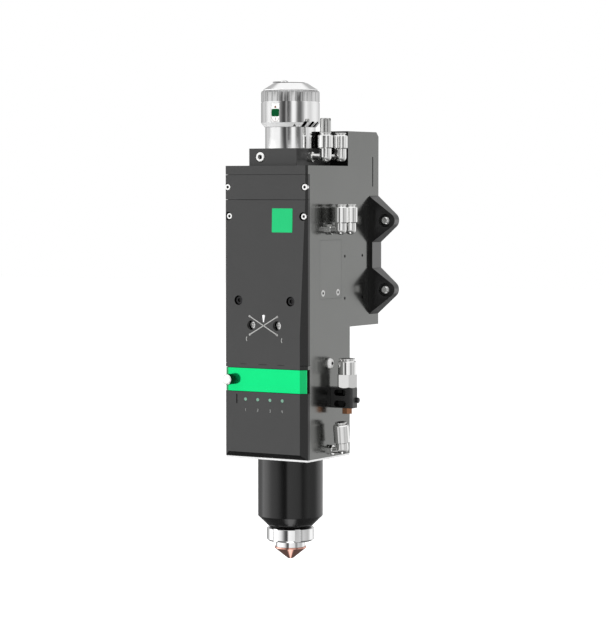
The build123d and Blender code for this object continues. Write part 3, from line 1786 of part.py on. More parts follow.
def push_in_barrel(x, y, foot, leg, sleeve, mouth, sleeve_radius, barrel_radius):
    """The upright part of a push-in elbow: a round bottom, a barrel and a wider sleeve."""
    with BuildSketch(Plane(origin=(x, y, 0), x_dir=(1, 0, 0), z_dir=(0, -1, 0))) as half:
        with BuildLine():
            dome = barrel_radius * dome_share
            corner = math.sqrt(0.5)
            ThreePointArc(
                (0, foot),
                (barrel_radius * corner, foot + dome * (1 - corner)),
                (barrel_radius, foot + dome),
            )
            Polyline(
                (barrel_radius, foot + dome),
                (barrel_radius, sleeve - sleeve_edge),
                (sleeve_radius, sleeve),
                (sleeve_radius, mouth - sleeve_edge),
                (sleeve_radius - sleeve_edge, mouth),
                (0, mouth),
                (0, foot),
            )
        make_face()
    revolve(half.sketch, axis=Axis((x, y, 0), (0, 0, 1)))
    collet_room = collet_length + collet_travel - collet_flange_height
    bar((x, y, mouth - collet_room), "z", collet_room, collet_radius + collet_clearance, Mode.SUBTRACT)
    socket_z = mouth - collet_room - tube_socket_depth
    bar((x, y, socket_z), "z", tube_socket_depth, tube_radius + tube_fit, Mode.SUBTRACT)
    bar((x, y, leg), "z", socket_z - leg, flow_radius, Mode.SUBTRACT)


def push_in_leg(x, y, leg, face_x, leg_radius):
    """The level leg of an elbow: threaded into its port, with a nut at the face."""
    bar((face_x + leg_nut_length, y, leg), "x", x - face_x - leg_nut_length, leg_radius)
    with BuildSketch(Plane(origin=(face_x, y, leg), z_dir=(1, 0, 0))) as nut:
        RegularPolygon(leg_nut_radius, 6)
    extrude(nut.sketch, amount=leg_nut_length)
    bar((face_x - leg_thread_length, y, leg), "x", leg_thread_length, leg_thread_radius)
    bar((face_x - leg_thread_length, y, leg), "x", x - face_x + leg_thread_length,
        flow_radius, Mode.SUBTRACT)


def collet(x, y, mouth, radius, bore_radius, flange_radius):
    """A release collet: a thin tube with a flange to press on."""
    flange_z = mouth + collet_travel
    turned(
        (
            (bore_radius, flange_z + collet_flange_height - collet_length),
            (radius, flange_z + collet_flange_height - collet_length),
            (radius, flange_z),
            (flange_radius, flange_z),
            (flange_radius, flange_z + collet_flange_height),
            (bore_radius, flange_z + collet_flange_height),
        ),
        x,
        y,
    )


mouth_drop = collet_travel + collet_flange_height
notch_sizes = (notch_sleeve_rise, notch_mouth_rise, notch_sleeve_radius, notch_barrel_radius)
side_sizes = (side_sleeve_rise, side_mouth_rise, side_sleeve_radius, side_barrel_radius)
low_sizes = (low_sleeve_rise, low_mouth_rise, low_sleeve_radius, low_barrel_radius)
elbows = (
    ("notch_elbow_front", notch_elbow_x, notch_elbow_y[0], notch_foot_z, notch_leg_z, notch_sizes,
     block_half_width, notch_leg_radius, 0),
    ("notch_elbow_rear", notch_elbow_x, notch_elbow_y[1], notch_foot_z, notch_leg_z, notch_sizes,
     block_half_width, notch_leg_radius, 0),
    ("side_elbow_front", side_elbow_x, side_elbow_y[0], side_foot_z, side_leg_z, side_sizes,
     half_width, side_leg_radius, 0),
    ("side_elbow_rear", side_elbow_x, side_elbow_y[1], side_foot_z, side_leg_z, side_sizes,
     half_width, side_leg_radius, 0),
    ("low_elbow", low_elbow_x, low_y, low_foot_z, low_leg_z, low_sizes,
     half_width, low_leg_radius, low_elbow_lean),
)
for name, x, y, foot, leg, sizes, face_x, leg_radius, lean in elbows:
    sleeve_rise, mouth_rise, sleeve_radius, barrel_radius = sizes
    mouth = foot + mouth_rise - mouth_drop
    hinge = Axis((x, y, leg), (1, 0, 0))
    with BuildPart() as elbow:
        push_in_barrel(x, y, foot, leg, foot + sleeve_rise, mouth, sleeve_radius, barrel_radius)
        push_in_leg(x, y, leg, face_x, leg_radius)
    fitting = elbow.part.rotate(hinge, lean)
    fitting.label = name
    export_step(fitting, f"parts/{name}.step")
    with BuildPart() as release:
        collet(x, y, mouth, collet_radius, collet_bore_radius, collet_flange_radius)
    ring = release.part.rotate(hinge, lean)
    ring.label = f"{name}_collet"
    export_step(ring, f"parts/{name}_collet.step")

# Stop plug: closes the notch's front port
plug_seat_z = notch_foot_z + notch_mouth_rise
with BuildPart() as port_plug:
    plug_x = notch_elbow_x
    plug_y = notch_elbow_y[0]
    head_z = plug_seat_z + plug_stand_off - collet_travel
    plug_end_z = plug_seat_z - collet_length - plug_insertion
    bar((plug_x, plug_y, plug_end_z), "z", head_z - plug_end_z, tube_radius - tube_fit)
    bar((plug_x, plug_y, head_z), "z", plug_head_height, plug_head_radius)
    chamfer(port_plug.edges().filter_by(GeomType.CIRCLE).sort_by(Axis.Z)[-1], length=plug_edge)
    with BuildSketch(Plane.XY.offset(head_z + plug_head_height - plug_slot_depth)) as slots:
        with Locations((plug_x, plug_y)):
            with PolarLocations(plug_head_radius, plug_slots):
                Rectangle(2 * plug_slot_length, plug_slot_width)
    extrude(slots.sketch, amount=plug_head_height, mode=Mode.SUBTRACT)
port_plug.part.label = "port_plug"
export_step(port_plug.part, "parts/port_plug.step")

# Gas block: a dark block on the side, with two slots in its front
with BuildPart() as gas_block:
    block_between(
        (half_width, half_width + gas_block_reach),
        (axis_y + gas_block_front, axis_y + gas_block_back),
        (gas_z, gas_top_z),
    )
    fillet(gas_block.edges().filter_by(Axis.Z).group_by(Axis.X)[-1], radius=gas_block_round)
    for rise in gas_slot_rises:
        with BuildSketch(
            Plane(
                origin=(gas_slot_x, axis_y + gas_block_front, gas_z + rise),
                x_dir=(1, 0, 0),
                z_dir=(0, -1, 0),
            )
        ) as slot:
            SlotOverall(gas_slot_length, gas_slot_height)
        extrude(slot.sketch, amount=-gas_slot_depth, mode=Mode.SUBTRACT)
    bar(
        (gas_axis_x, gas_y, gas_top_z - gas_thread_length), "z", gas_thread_length,
        gas_thread_radius + thread_clearance, Mode.SUBTRACT,
    )
    # passages: down from the fitting, sideways into the housing, and a drill to the lower port
    passage_z = gas_z + gas_passage_rise
    bar((gas_axis_x, gas_y, passage_z), "z", gas_top_z - passage_z, gas_flow_radius, Mode.SUBTRACT)
    bar((half_width, gas_y, passage_z), "x", gas_axis_x + gas_flow_radius - half_width,
        gas_flow_radius, Mode.SUBTRACT)
    bar((gas_axis_x, axis_y + plug_drill_y, gas_z), "z", gas_passage_rise, plug_drill_radius,
        Mode.SUBTRACT)
    bar((gas_axis_x, gas_y, gas_z), "z", plug_port_depth, plug_thread_radius + thread_clearance,
        Mode.SUBTRACT)
    bar(
        (half_width, axis_y + gas_screw_y, gas_screw_z), "x", gas_block_reach,
        cap_shank_radius + thread_clearance, Mode.SUBTRACT,
    )
gas_block.part.label = "gas_block"
export_step(gas_block.part, "parts/gas_block.step")

with BuildPart() as gas_block_screw:
    outer_x = half_width + gas_block_reach
    turned_along_x(
        (
            (0, outer_x - gas_screw_length),
            (cap_shank_radius, outer_x - gas_screw_length),
            (cap_shank_radius, outer_x),
            (gas_screw_head_radius, outer_x),
            (gas_screw_head_radius, outer_x + gas_screw_head_height - gas_screw_head_edge),
            (gas_screw_head_radius - gas_screw_head_edge, outer_x + gas_screw_head_height),
            (0, outer_x + gas_screw_head_height),
        ),
        axis_y + gas_screw_y,
        gas_screw_z,
    )
gas_block_screw.part.label = "gas_block_screw"
export_step(gas_block_screw.part, "parts/gas_block_screw.step")

# Gas fitting: a hexagon and a sleeve, with a collet for the large tube
gas_sleeve_z = gas_top_z + gas_hex_height
gas_mouth_z = gas_sleeve_z + gas_sleeve_height - mouth_drop
with BuildPart() as gas_fitting:
    with BuildSketch(Plane.XY.offset(gas_top_z)) as hexagon:
        with Locations((gas_axis_x, gas_y)):
            RegularPolygon(gas_hex_flats / 2, 6, major_radius=False, rotation=gas_hex_turn)
    extrude(hexagon.sketch, amount=gas_hex_height)
    turned(
        (
            (0, gas_top_z),
            (gas_hex_face_radius, gas_top_z),
            (gas_hex_rim_radius, gas_top_z + gas_hex_bevel),
            (gas_hex_rim_radius, gas_sleeve_z),
            (0, gas_sleeve_z),
        ),
        gas_axis_x,
        gas_y,
        mode=Mode.INTERSECT,
    )
    turned(
        (
            (0, gas_sleeve_z - gas_sleeve_root),
            (gas_sleeve_radius, gas_sleeve_z - gas_sleeve_root),
            (gas_sleeve_radius, gas_mouth_z - sleeve_edge),
            (gas_sleeve_radius - sleeve_edge, gas_mouth_z),
            (0, gas_mouth_z),
        ),
        gas_axis_x,
        gas_y,
    )
    bar((gas_axis_x, gas_y, gas_top_z - gas_thread_length), "z", gas_thread_length, gas_thread_radius)
    collet_room = collet_length + collet_travel - collet_flange_height
    bar((gas_axis_x, gas_y, gas_mouth_z - collet_room), "z", collet_room,
        gas_collet_radius + collet_clearance, Mode.SUBTRACT)
    gas_socket_z = gas_mouth_z - collet_room - tube_socket_depth
    bar((gas_axis_x, gas_y, gas_socket_z), "z", tube_socket_depth,
        gas_tube_radius + tube_fit, Mode.SUBTRACT)
    bar((gas_axis_x, gas_y, gas_top_z - gas_thread_length), "z",
        gas_socket_z - gas_top_z + gas_thread_length, gas_flow_radius, Mode.SUBTRACT)
gas_fitting.part.label = "gas_fitting"
export_step(gas_fitting.part, "parts/gas_fitting.step")

with BuildPart() as gas_fitting_collet:
    collet(
        gas_axis_x, gas_y, gas_mouth_z, gas_collet_radius, gas_collet_bore_radius,
        gas_collet_flange_radius,
    )
gas_fitting_collet.part.label = "gas_fitting_collet"
export_step(gas_fitting_collet.part, "parts/gas_fitting_collet.step")

with BuildPart() as gas_plug:
    with BuildSketch(Plane.XY.offset(gas_z - plug_nut_height)) as hexagon:
        with Locations((gas_axis_x, gas_y)):
            RegularPolygon(plug_nut_radius, 6)
    extrude(hexagon.sketch, amount=plug_nut_height)
    bar((gas_axis_x, gas_y, gas_z), "z", plug_port_depth, plug_thread_radius)
gas_plug.part.label = "gas_plug"
export_step(gas_plug.part, "parts/gas_plug.step")
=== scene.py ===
import math

import bmesh
import bpy
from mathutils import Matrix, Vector


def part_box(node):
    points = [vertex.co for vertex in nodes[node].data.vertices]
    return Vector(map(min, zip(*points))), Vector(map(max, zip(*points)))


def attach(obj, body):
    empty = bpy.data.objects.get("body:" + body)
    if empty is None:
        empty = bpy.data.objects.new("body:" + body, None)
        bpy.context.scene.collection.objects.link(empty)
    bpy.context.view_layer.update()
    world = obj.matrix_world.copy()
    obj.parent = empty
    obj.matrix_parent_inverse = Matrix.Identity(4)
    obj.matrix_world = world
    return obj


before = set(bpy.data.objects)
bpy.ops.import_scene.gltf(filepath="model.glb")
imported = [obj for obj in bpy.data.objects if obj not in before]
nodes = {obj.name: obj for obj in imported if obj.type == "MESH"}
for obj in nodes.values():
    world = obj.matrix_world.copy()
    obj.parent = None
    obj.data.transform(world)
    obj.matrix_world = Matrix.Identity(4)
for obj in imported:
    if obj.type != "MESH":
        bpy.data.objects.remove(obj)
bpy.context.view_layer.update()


# The studio. A white backdrop, a pale floor a hand's breadth under the hanging head, and soft
# light from both sides. Polished metal shows a room with bright walls to the left and right,
# dim corners behind it, and dark gaps between tall lights round the camera.
class Signal:
    """A value, colour or vector on its way through a finish; Python's operators add the nodes."""

    def __init__(self, socket):
        self.socket = socket

    def make(self, kind, settings, inputs, output=0):
        """Add any other node: its type, its settings, then the values or links of its inputs."""
        tree = self.socket.id_data
        node = tree.nodes.new(kind)
        for name, value in settings.items():
            if name != "stops":
                setattr(node, name, value)
                continue
            while len(node.color_ramp.elements) < len(value):
                node.color_ramp.elements.new(0.5)
            for element, (place, level) in zip(node.color_ramp.elements, value):
                element.position = place
                element.color = (level, level, level, 1)
        for key, value in inputs.items():
            if isinstance(value, Signal):
                tree.links.new(value.socket, node.inputs[key])
            else:
                node.inputs[key].default_value = value
        return Signal(node.outputs[output])

    def maths(self, operation, *sides):
        """A Math node on one or two values."""
        return self.make("ShaderNodeMath", {"operation": operation}, dict(enumerate(sides)))

    def __add__(self, other):
        return self.maths("ADD", self, other)

    def __radd__(self, other):
        return self.maths("ADD", other, self)

    def __sub__(self, other):
        return self.maths("SUBTRACT", self, other)

    def __rsub__(self, other):
        return self.maths("SUBTRACT", other, self)

    def __mul__(self, other):
        return self.maths("MULTIPLY", self, other)

    def __rmul__(self, other):
        return self.maths("MULTIPLY", other, self)

    def __truediv__(self, other):
        return self.maths("DIVIDE", self, other)

    def __rtruediv__(self, other):
        return self.maths("DIVIDE", other, self)

    def rising(self, low, high):
        """0 below low, 1 above high, and a soft rise between."""
        return self.make(
            "ShaderNodeMapRange", {"interpolation_type": "SMOOTHSTEP"}, {0: self, 1: low, 2: high}
        )

    def parts(self):
        """The X, Y and Z of a vector."""
        return [self.make("ShaderNodeSeparateXYZ", {}, {0: self}, output=i) for i in range(3)]

    def blend(self, first, second):
        """A colour between two, by this value."""
        sides = {0: self}
        for key, side in ((6, first), (7, second)):
            sides[key] = side if isinstance(side, Signal) else (*side, 1)
        return self.make("ShaderNodeMix", {"data_type": "RGBA"}, sides, output=2)


def grey(level):
    """A neutral colour."""
    return (level, level, level)


camera_angle = math.radians(31.318)
towards_camera = Vector((math.sin(camera_angle), -math.cos(camera_angle), 0))
world = bpy.data.worlds.new("studio")
bpy.context.scene.world = world
bpy.context.scene.view_settings.view_transform = "Standard"
world.use_nodes = True
world_tree = world.node_tree
world_tree.nodes.clear()
way = Signal(world_tree.nodes.new("ShaderNodeTexCoord").outputs["Generated"])
way_x, way_y, way_z = way.parts()
ahead = way_x * towards_camera.x + way_y * towards_camera.y
aside = way_x * -towards_camera.y + way_y * towards_camera.x
around = aside.maths("ARCTAN2", aside, ahead)
# How bright the room's wall is at angles round it: 0 is the camera's side, + is to its right.
high_room = (
    (-180, 0.25), (-147, 0.45), (-133, 0.6), (-124, 0.64), (-114, 0.54), (-103, 0.8), (-96, 0.92),
    (-51, 0.92), (-46, 0.62), (-41, 0.3), (-33, 0.1), (-25, 0.05), (-21, 0.08), (-15, 0.36),
    (-10, 0.08), (-4, 0.13), (1, 0.28), (6, 0.75), (10, 0.98), (19, 0.92), (24, 0.5), (30, 0.15),
    (40, 0.11), (48, 0.28), (58, 0.7), (65, 0.92), (74, 0.76), (86, 0.68), (105, 0.88),
    (120, 0.88), (150, 0.65), (180, 0.25),
)
low_room = (
    (-180, 0.25), (-149, 0.32), (-134, 0.55), (-123, 0.87), (-112, 2.0), (-90, 2.0), (-70, 1.15),
    (-62, 1.05), (-49, 0.86), (-43, 0.68), (-36, 0.42), (-31, 0.22), (-24, 0.08), (-17, 0.06),
    (-13, 0.3), (-9, 0.97), (4, 0.92), (24, 0.82), (34, 0.7), (40, 0.38), (45, 0.2), (52, 0.36),
    (66, 0.62), (80, 0.55), (94, 0.5), (102, 0.6), (110, 0.85), (118, 1.0), (140, 0.92),
    (158, 0.75), (180, 0.25),
)
rooms = []
for stops in (low_room, high_room):
    settings = {"stops": [((angle + 180) / 360, level) for angle, level in stops]}
    rooms.append(around.make("ShaderNodeValToRGB", settings, {0: around / (2 * math.pi) + 0.5}))
# Over these walls come a grey band and a white ceiling, and under them a dim floor. A raised
# view meets softer walls, and a patch of light lies straight below the head.
down = 0 - way_z
room = way_z.rising(0.006, 0.016).blend(*rooms)
room = way_z.rising(0.06, 0.14).blend(room, grey(0.5))
room = way_z.rising(0.55, 0.75).blend(room, grey(1))
room = down.rising(0.3, 0.5).blend(room, grey(0.13))
raised_view = down.rising(0.16, 0.24) * (1 - down.rising(0.6, 0.75))
room = (raised_view * ahead.rising(-0.65, -0.45) * 0.6).blend(room, grey(0.65))
off_middle = aside.maths("ABSOLUTE", aside).rising(0.05, 0.19)
underfoot_light = down.rising(0.9, 0.94) * (1 - off_middle)
room = underfoot_light.blend(room, grey(1.8))
ray = world_tree.nodes.new("ShaderNodeLightPath")
glossy = Signal(ray.outputs["Is Glossy Ray"])
seen = Signal(ray.outputs["Is Camera Ray"]) + Signal(ray.outputs["Is Transmission Ray"])
lit_room = glossy.blend(grey(0.5), room)
sky = seen.make("ShaderNodeClamp", {}, {0: seen}).blend(lit_room, grey(1))
background = sky.make("ShaderNodeBackground", {}, {"Color": sky})
world_out = world_tree.nodes.new("ShaderNodeOutputWorld")
world_tree.links.new(background.socket, world_out.inputs[0])


head_middle = Vector((0, -0.08, -0.06))


def soft_lamp(name, place, size, watts):
    """A square soft box that points at the middle of the head."""
    lamp = bpy.data.lights.new(name, "AREA")
    lamp.size = size
    lamp.energy = watts
    box = bpy.data.objects.new(name, lamp)
    bpy.context.scene.collection.objects.link(box)
    box.location = place
    box.rotation_euler = (head_middle - box.location).to_track_quat("-Z", "Y").to_euler()
    box.visible_glossy = False


soft_lamp("lamp_front_left", Vector((-1.3, -1.9, 1.2)), size=1.6, watts=50)
soft_lamp("lamp_right", Vector((2.2, -0.4, 1.0)), size=1.6, watts=18)

floor_z = -0.31
floor_glow = 0.62
floor_mesh = bpy.data.meshes.new("floor")
shape = bmesh.new()
bmesh.ops.create_grid(shape, x_segments=8, y_segments=8, size=6.0)
shape.to_mesh(floor_mesh)
shape.free()
floor = bpy.data.objects.new("floor", floor_mesh)
bpy.context.scene.collection.objects.link(floor)
floor.location = (0, 0, floor_z)
floor.visible_glossy = False
floor_finish = bpy.data.materials.new("pale_floor")
floor_finish.use_nodes = True
floor_tree = floor_finish.node_tree
floor_tree.nodes.clear()
floor_ray = floor_tree.nodes.new("ShaderNodeLightPath")
floor_seen = Signal(floor_ray.outputs["Is Camera Ray"])
matt = floor_seen.make("ShaderNodeBsdfDiffuse", {}, {"Color": (0.9, 0.9, 0.9, 1)})
glow = floor_seen.make(
    "ShaderNodeEmission", {}, {"Color": (1, 1, 1, 1), "Strength": floor_seen * floor_glow}
)
both = matt.make("ShaderNodeAddShader", {}, {0: matt, 1: glow})
floor_out = floor_tree.nodes.new("ShaderNodeOutputMaterial")
floor_tree.links.new(both.socket, floor_out.inputs[0])
floor_mesh.materials.append(floor_finish)

camera_dip = math.radians(3.142)
camera_data = bpy.data.cameras.new("camera")
camera_data.sensor_width = 36.0
camera_data.lens = 135.89
camera_data.clip_start = 0.1
camera_data.clip_end = 30
camera = bpy.data.objects.new("camera", camera_data)
bpy.context.scene.collection.objects.link(camera)
camera.location = (1.1151, -1.8913, 0.06)
camera.rotation_euler = (math.pi / 2 - camera_dip, 0, camera_angle)
bpy.context.scene.camera = camera


# The main housing. One machined aluminium body, finely blasted and anodised a glossy grey, with
# every edge lightly broken. It carries the covers, the drive and all the fittings. Its forward
# faces are drawn in a darker grey and its front chamfers darker still, which is painted shade;
# the wall at the back of its open notch is drawn black, also painted shade.
def new_finish(name):
    """An empty material, its main shader, and the place on the piece."""
    finish = bpy.data.materials.new(name)
    finish.use_nodes = True
    tree = finish.node_tree
    place = Signal(tree.nodes.new("ShaderNodeTexCoord").outputs["Object"])
    return finish, tree.nodes["Principled BSDF"], place


def feed(shader, **inputs):
    """Give the main shader its values and its changing signals."""
    for key, value in inputs.items():
        socket = shader.inputs[key.replace("_", " ").title()]
        if isinstance(value, Signal):
            shader.id_data.links.new(value.socket, socket)
        else:
            socket.default_value = (*value, 1) if hasattr(value, "__len__") else value


def noise(place, size, detail=2.0):
    """Even random grain, given the size of its lumps in metres."""
    return place.make(
        "ShaderNodeTexNoise", {}, {"Vector": place, "Scale": 1 / size, "Detail": detail}
    )


def bumps(height, strength, depth):
    """A surface direction from a height; depth is in metres."""
    return height.make(
        "ShaderNodeBump", {}, {"Height": height, "Strength": strength, "Distance": depth}
    )


def shades(colour, spread):
    """A slightly darker and a slightly lighter shade of a colour."""
    return [tuple(min(1.0, c * (1 + way * spread)) for c in colour) for way in (-1, 1)]


def blasted(name, colour, roughness, metallic, grain_size=0.0004):
    """Blasted metal or moulded plastic: a fine even grain, slightly uneven in gloss and shade."""
    finish, shader, place = new_finish(name)
    cloud = noise(place, 0.03)
    grain = noise(place, grain_size, 1.0)
    feed(
        shader,
        base_color=cloud.blend(*shades(colour, 0.06)),
        metallic=metallic,
        roughness=cloud * 0.06 + (roughness - 0.03),
        normal=bumps(grain, 0.15, 0.00003),
    )
    return finish


def ease_edges(node, width):
    """Break a CAD node's sharp edges, as a deburred or moulded piece has them."""
    piece = nodes[node]
    if "custom_normal" in piece.data.attributes:
        piece.data.attributes.remove(piece.data.attributes["custom_normal"])
    piece.data.polygons.foreach_set("use_smooth", [True] * len(piece.data.polygons))
    weld = piece.modifiers.new("weld", "WELD")
    weld.merge_threshold = 0.000002
    flat = piece.modifiers.new("flat", "DECIMATE")
    flat.decimate_type = "DISSOLVE"
    flat.angle_limit = math.radians(0.3)
    flat.delimit = {"MATERIAL"}
    ease = piece.modifiers.new("ease", "BEVEL")
    ease.width = width
    ease.segments = 2
    ease.limit_method = "ANGLE"
    ease.angle_limit = math.radians(28)
    ease.use_clamp_overlap = True
    even = piece.modifiers.new("even", "WEIGHTED_NORMAL")
    even.keep_sharp = True


def dress(node, finish, edge=0):
    """Give a CAD node its finish, and break its sharp edges by a width."""
    mesh = nodes[node].data
    mesh.materials.clear()
    mesh.materials.append(finish)
    if edge:
        ease_edges(node, edge)


def dress_faces(node, finish, chosen):
    """Give another finish to the faces of a CAD node that a test of place and direction chooses."""
    mesh = nodes[node].data
    mesh.materials.append(finish)
    for face in mesh.polygons:
        if chosen(face.center, face.normal):
            face.material_index = len(mesh.materials) - 1


housing_grey = blasted("housing_grey", (0.203, 0.206, 0.2), 0.17, 0.97)
# A darker copy of the housing's grey for forward faces, covers and top block: painted shade.
shaded_front_grey = blasted("shaded_front_grey", grey(0.065), 0.3, 0.55)
# A still darker grey for the front chamfers: painted shade.
shaded_edge_grey = blasted("shaded_edge_grey", grey(0.036), 0.25, 0.85)
# Near black for the notch's wall and the insides of holes, slots, bores and sockets: painted shade.
painted_shade_black = blasted("painted_shade_black", grey(0.01), 0.1, 0.6)
cover_back_y = -0.1188
front_tilt = 0.98  # a face tilted less forward than this is one of the chamfers
notch_wall_y = -0.05415
notch_floor_z = 0.079
surface_skin = 0.0001


def is_front(place, way):
    """The faces that look forward."""
    return place.y < cover_back_y and way.y < -front_tilt


def is_bevel(place, way):
    """The chamfers round the front, which are drawn darker: painted shade."""
    return place.y < cover_back_y and -front_tilt < way.y < -0.3


dress("main_housing", housing_grey, edge=0.0003)
# The housing's forward faces take the darker grey: painted shade.
dress_faces("main_housing", shaded_front_grey, is_front)
dress_faces("main_housing", shaded_edge_grey, is_bevel)
# The wall at the back of the notch is drawn black: painted shade.
dress_faces(
    "main_housing", painted_shade_black,
    lambda place, way: abs(place.y - notch_wall_y) < surface_skin and place.z > notch_floor_z,
)
side_x = 0.042
side_hole_depth = 0.004
pin_holes = [(y, z) for y in (-0.0595, -0.0289) for z in (-0.037, 0.0)]
pin_hole_radius = 0.00135
side_slot_y = (-0.0112, -0.0096)
side_slot_z = (0.0605, 0.0879)


def is_side_hole(place, way):
    """The small pin holes' and the narrow side slot's insides, drawn black: painted shade."""
    if not side_x - side_hole_depth < place.x < side_x - surface_skin:
        return False
    if side_slot_y[0] < place.y < side_slot_y[1] and side_slot_z[0] < place.z < side_slot_z[1]:
        return True
    return any(math.hypot(place.y - y, place.z - z) < pin_hole_radius for y, z in pin_holes)


dress_faces("main_housing", painted_shade_black, is_side_hole)


# The three front covers. Thick plates of the same blasted aluminium, drawn in a darker grey,
# which is painted shade, one above the other. The middle one's face leans out on its way down
# to the drawer.
cover_margin = 0.0008
for cover in ("upper_front_cover", "main_front_cover", "lower_front_cover"):
    cover_low, cover_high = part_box(cover)

    def is_hole(place, way):
        """The walls of the screw holes, which are drawn black inside: painted shade."""
        over = cover_low[2] + cover_margin < place.z < cover_high[2] - cover_margin
        return over and abs(place.x) < cover_high[0] - cover_margin and abs(way.y) < 0.2

    dress(cover, shaded_front_grey, edge=0.00025)
    dress_faces(cover, shaded_edge_grey, is_bevel)
    dress_faces(cover, painted_shade_black, is_hole)


# The cover screws. Bright steel socket-head screws hold the upper and the main cover at the
# top, and two black oxidised ones hold the main cover lower down, deep in their holes. The
# insides of their sockets are drawn dark: painted shade.
def turned_metal(name, colour, roughness, metallic=1.0, pitch=0.00018, depth=0.000003, axis=2):
    """Lathe-turned metal: the fine rings that the tool left along an axis, and an uneven gloss."""
    finish, shader, place = new_finish(name)
    along = place.parts()[axis]
    rings = along.maths("SINE", along * (2 * math.pi / pitch))
    cloud = noise(place, 0.008)
    feed(
        shader,
        base_color=cloud.blend(*shades(colour, 0.04)),
        metallic=metallic,
        roughness=cloud * 0.05 + (roughness - 0.025),
        normal=bumps(rings, 0.3, depth),
    )
    return finish


socket_lip = 0.00005


# The inside of the sockets gets a darker finish: painted shade.
def dress_screws(node, steel, inside, axis, front, radius, depth, edge):
    """Dress screws along an axis, and the inside of their sockets; front is -1 or 1."""
    dress(node, steel, edge)
    mesh = nodes[node].data
    mesh.materials.append(inside)
    shape = bmesh.new()
    shape.from_mesh(mesh)
    bmesh.ops.remove_doubles(shape, verts=shape.verts, dist=0.000001)
    left = set(shape.verts)
    middles = []
    while left:
        island = [left.pop()]
        for vert in island:
            for link in vert.link_edges:
                other = link.other_vert(vert)
                if other in left:
                    left.remove(other)
                    island.append(other)
        low = Vector([min(vert.co[i] for vert in island) for i in range(3)])
        high = Vector([max(vert.co[i] for vert in island) for i in range(3)])
        middle = (low + high) / 2
        middle[axis] = high[axis] if front > 0 else low[axis]
        middles.append(middle)
    shape.free()
    for face in mesh.polygons:
        for middle in middles:
            out = face.center - middle
            sunk = -out[axis] * front
            out[axis] = 0
            if socket_lip < sunk < depth and out.length < radius:
                face.material_index = 1


bright_screw = turned_metal("bright_screw", (0.95, 0.95, 0.94), 0.14, 0.6, axis=1)
black_oxide = blasted("black_oxide", (0.02, 0.02, 0.021), 0.3, 0.5)
# A dark grey for the insides of screw sockets: painted shade.
socket_shade_grey = blasted("socket_shade_grey", grey(0.1), 0.3, 0.6)
dress_screws(
    "cover_screws", bright_screw, socket_shade_grey,
    axis=1, front=-1, radius=0.0015, depth=0.0017, edge=0.00015,
)
dress_screws(
    "black_cover_screws", black_oxide, painted_shade_black,
    axis=1, front=-1, radius=0.002, depth=0.0017, edge=0.00015,
)


# The indicator lights. Four clear pins of pale green plastic stand flush in the lower cover,
# lit from a small circuit board behind it. Plain numbers under them are printed in grey.
def smooth_plain(name, colour, roughness, metallic=0.0):
    """A smooth plain material with a little unevenness in it."""
    return blasted(name, colour, roughness, metallic, 0.002)


light_green = smooth_plain("light_green", (0.17, 0.34, 0.25), 0.25)
dress("indicator_lights", light_green, edge=0.0002)
board_finish, board_shader, board_place = new_finish("board_green")
board_x = board_place.parts()[0]
traces_per_metre = 1800
traces = board_x.maths("SINE", board_x * traces_per_metre)
feed(
    board_shader,
    base_color=traces.rising(0.4, 0.6).blend((0.02, 0.13, 0.05), (0.03, 0.2, 0.08)),
    roughness=0.35,
)
dress("indicator_board", board_finish)

front_y = -0.1263
lean_bottom = -0.068
lean_top = 0.0495
lean_depth = 0.003


def on_front(x, z, proud=0.0):
    """A point on the front covers' face, or a little in front of it."""
    lean = min(max((z - lean_bottom) / (lean_top - lean_bottom), 0), 1) * lean_depth
    return Vector((x, front_y + lean - proud, z))


def add_piece(name, body, finish, draw, smooth=False):
    """A new piece whose mesh is drawn in metres, in the head's frame, riding on a body."""
    mesh = bpy.data.meshes.new(name)
    shape = bmesh.new()
    draw(shape)
    bmesh.ops.remove_doubles(shape, verts=shape.verts, dist=0.000001)
    bmesh.ops.recalc_face_normals(shape, faces=shape.faces)
    shape.to_mesh(mesh)
    shape.free()
    mesh.materials.append(finish)
    if smooth:
        mesh.shade_smooth()
        mesh.set_sharp_from_angle(angle=math.radians(35))
    piece = bpy.data.objects.new(name, mesh)
    bpy.context.scene.collection.objects.link(piece)
    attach(piece, body)
    return piece


def slab(shape, outline, thickness):
    """A thin flat plate from the points of its outer face; it lies behind them."""
    low = [shape.verts.new(point + Vector((0, thickness, 0))) for point in outline]
    top = [shape.verts.new(point) for point in outline]
    shape.faces.new(top)
    shape.faces.new(list(reversed(low)))
    for index in range(len(outline)):
        after = (index + 1) % len(outline)
        shape.faces.new((top[index], low[index], low[after], top[after]))


print_proud = 0.00004
print_depth = 0.00006


def line_corners(start, end, width):
    """The four corners of a line of a width between two flat points."""
    start, end = Vector(start), Vector(end)
    along = (end - start).normalized()
    across = Vector((-along.y, along.x)) * width / 2
    return start + across, start - across, end - across, end + across


def stroke(shape, start, end, width):
    """A printed line on the front face between two (x, z) points."""
    face = [on_front(*corner, print_proud) for corner in line_corners(start, end, width)]
    slab(shape, face, print_depth)


digit_height = 0.0022
digit_width = 0.0012
digit_line = 0.00028
digit_strokes = {
    "1": (((0.5, 0), (0.5, 1)), ((0.5, 1), (0.2, 0.75))),
    "2": (
        ((0, 1), (1, 1)), ((1, 1), (1, 0.5)), ((1, 0.5), (0, 0.5)), ((0, 0.5), (0, 0)),
        ((0, 0), (1, 0)),
    ),
    "3": (((0, 1), (1, 1)), ((1, 1), (1, 0)), ((0.2, 0.5), (1, 0.5)), ((0, 0), (1, 0))),
    "4": (((0, 1), (0, 0.4)), ((0, 0.4), (1, 0.4)), ((0.7, 1), (0.7, 0))),
}
light_spots = (-0.01875, -0.00625, 0.00625, 0.01875)
numbers_z = -0.1339


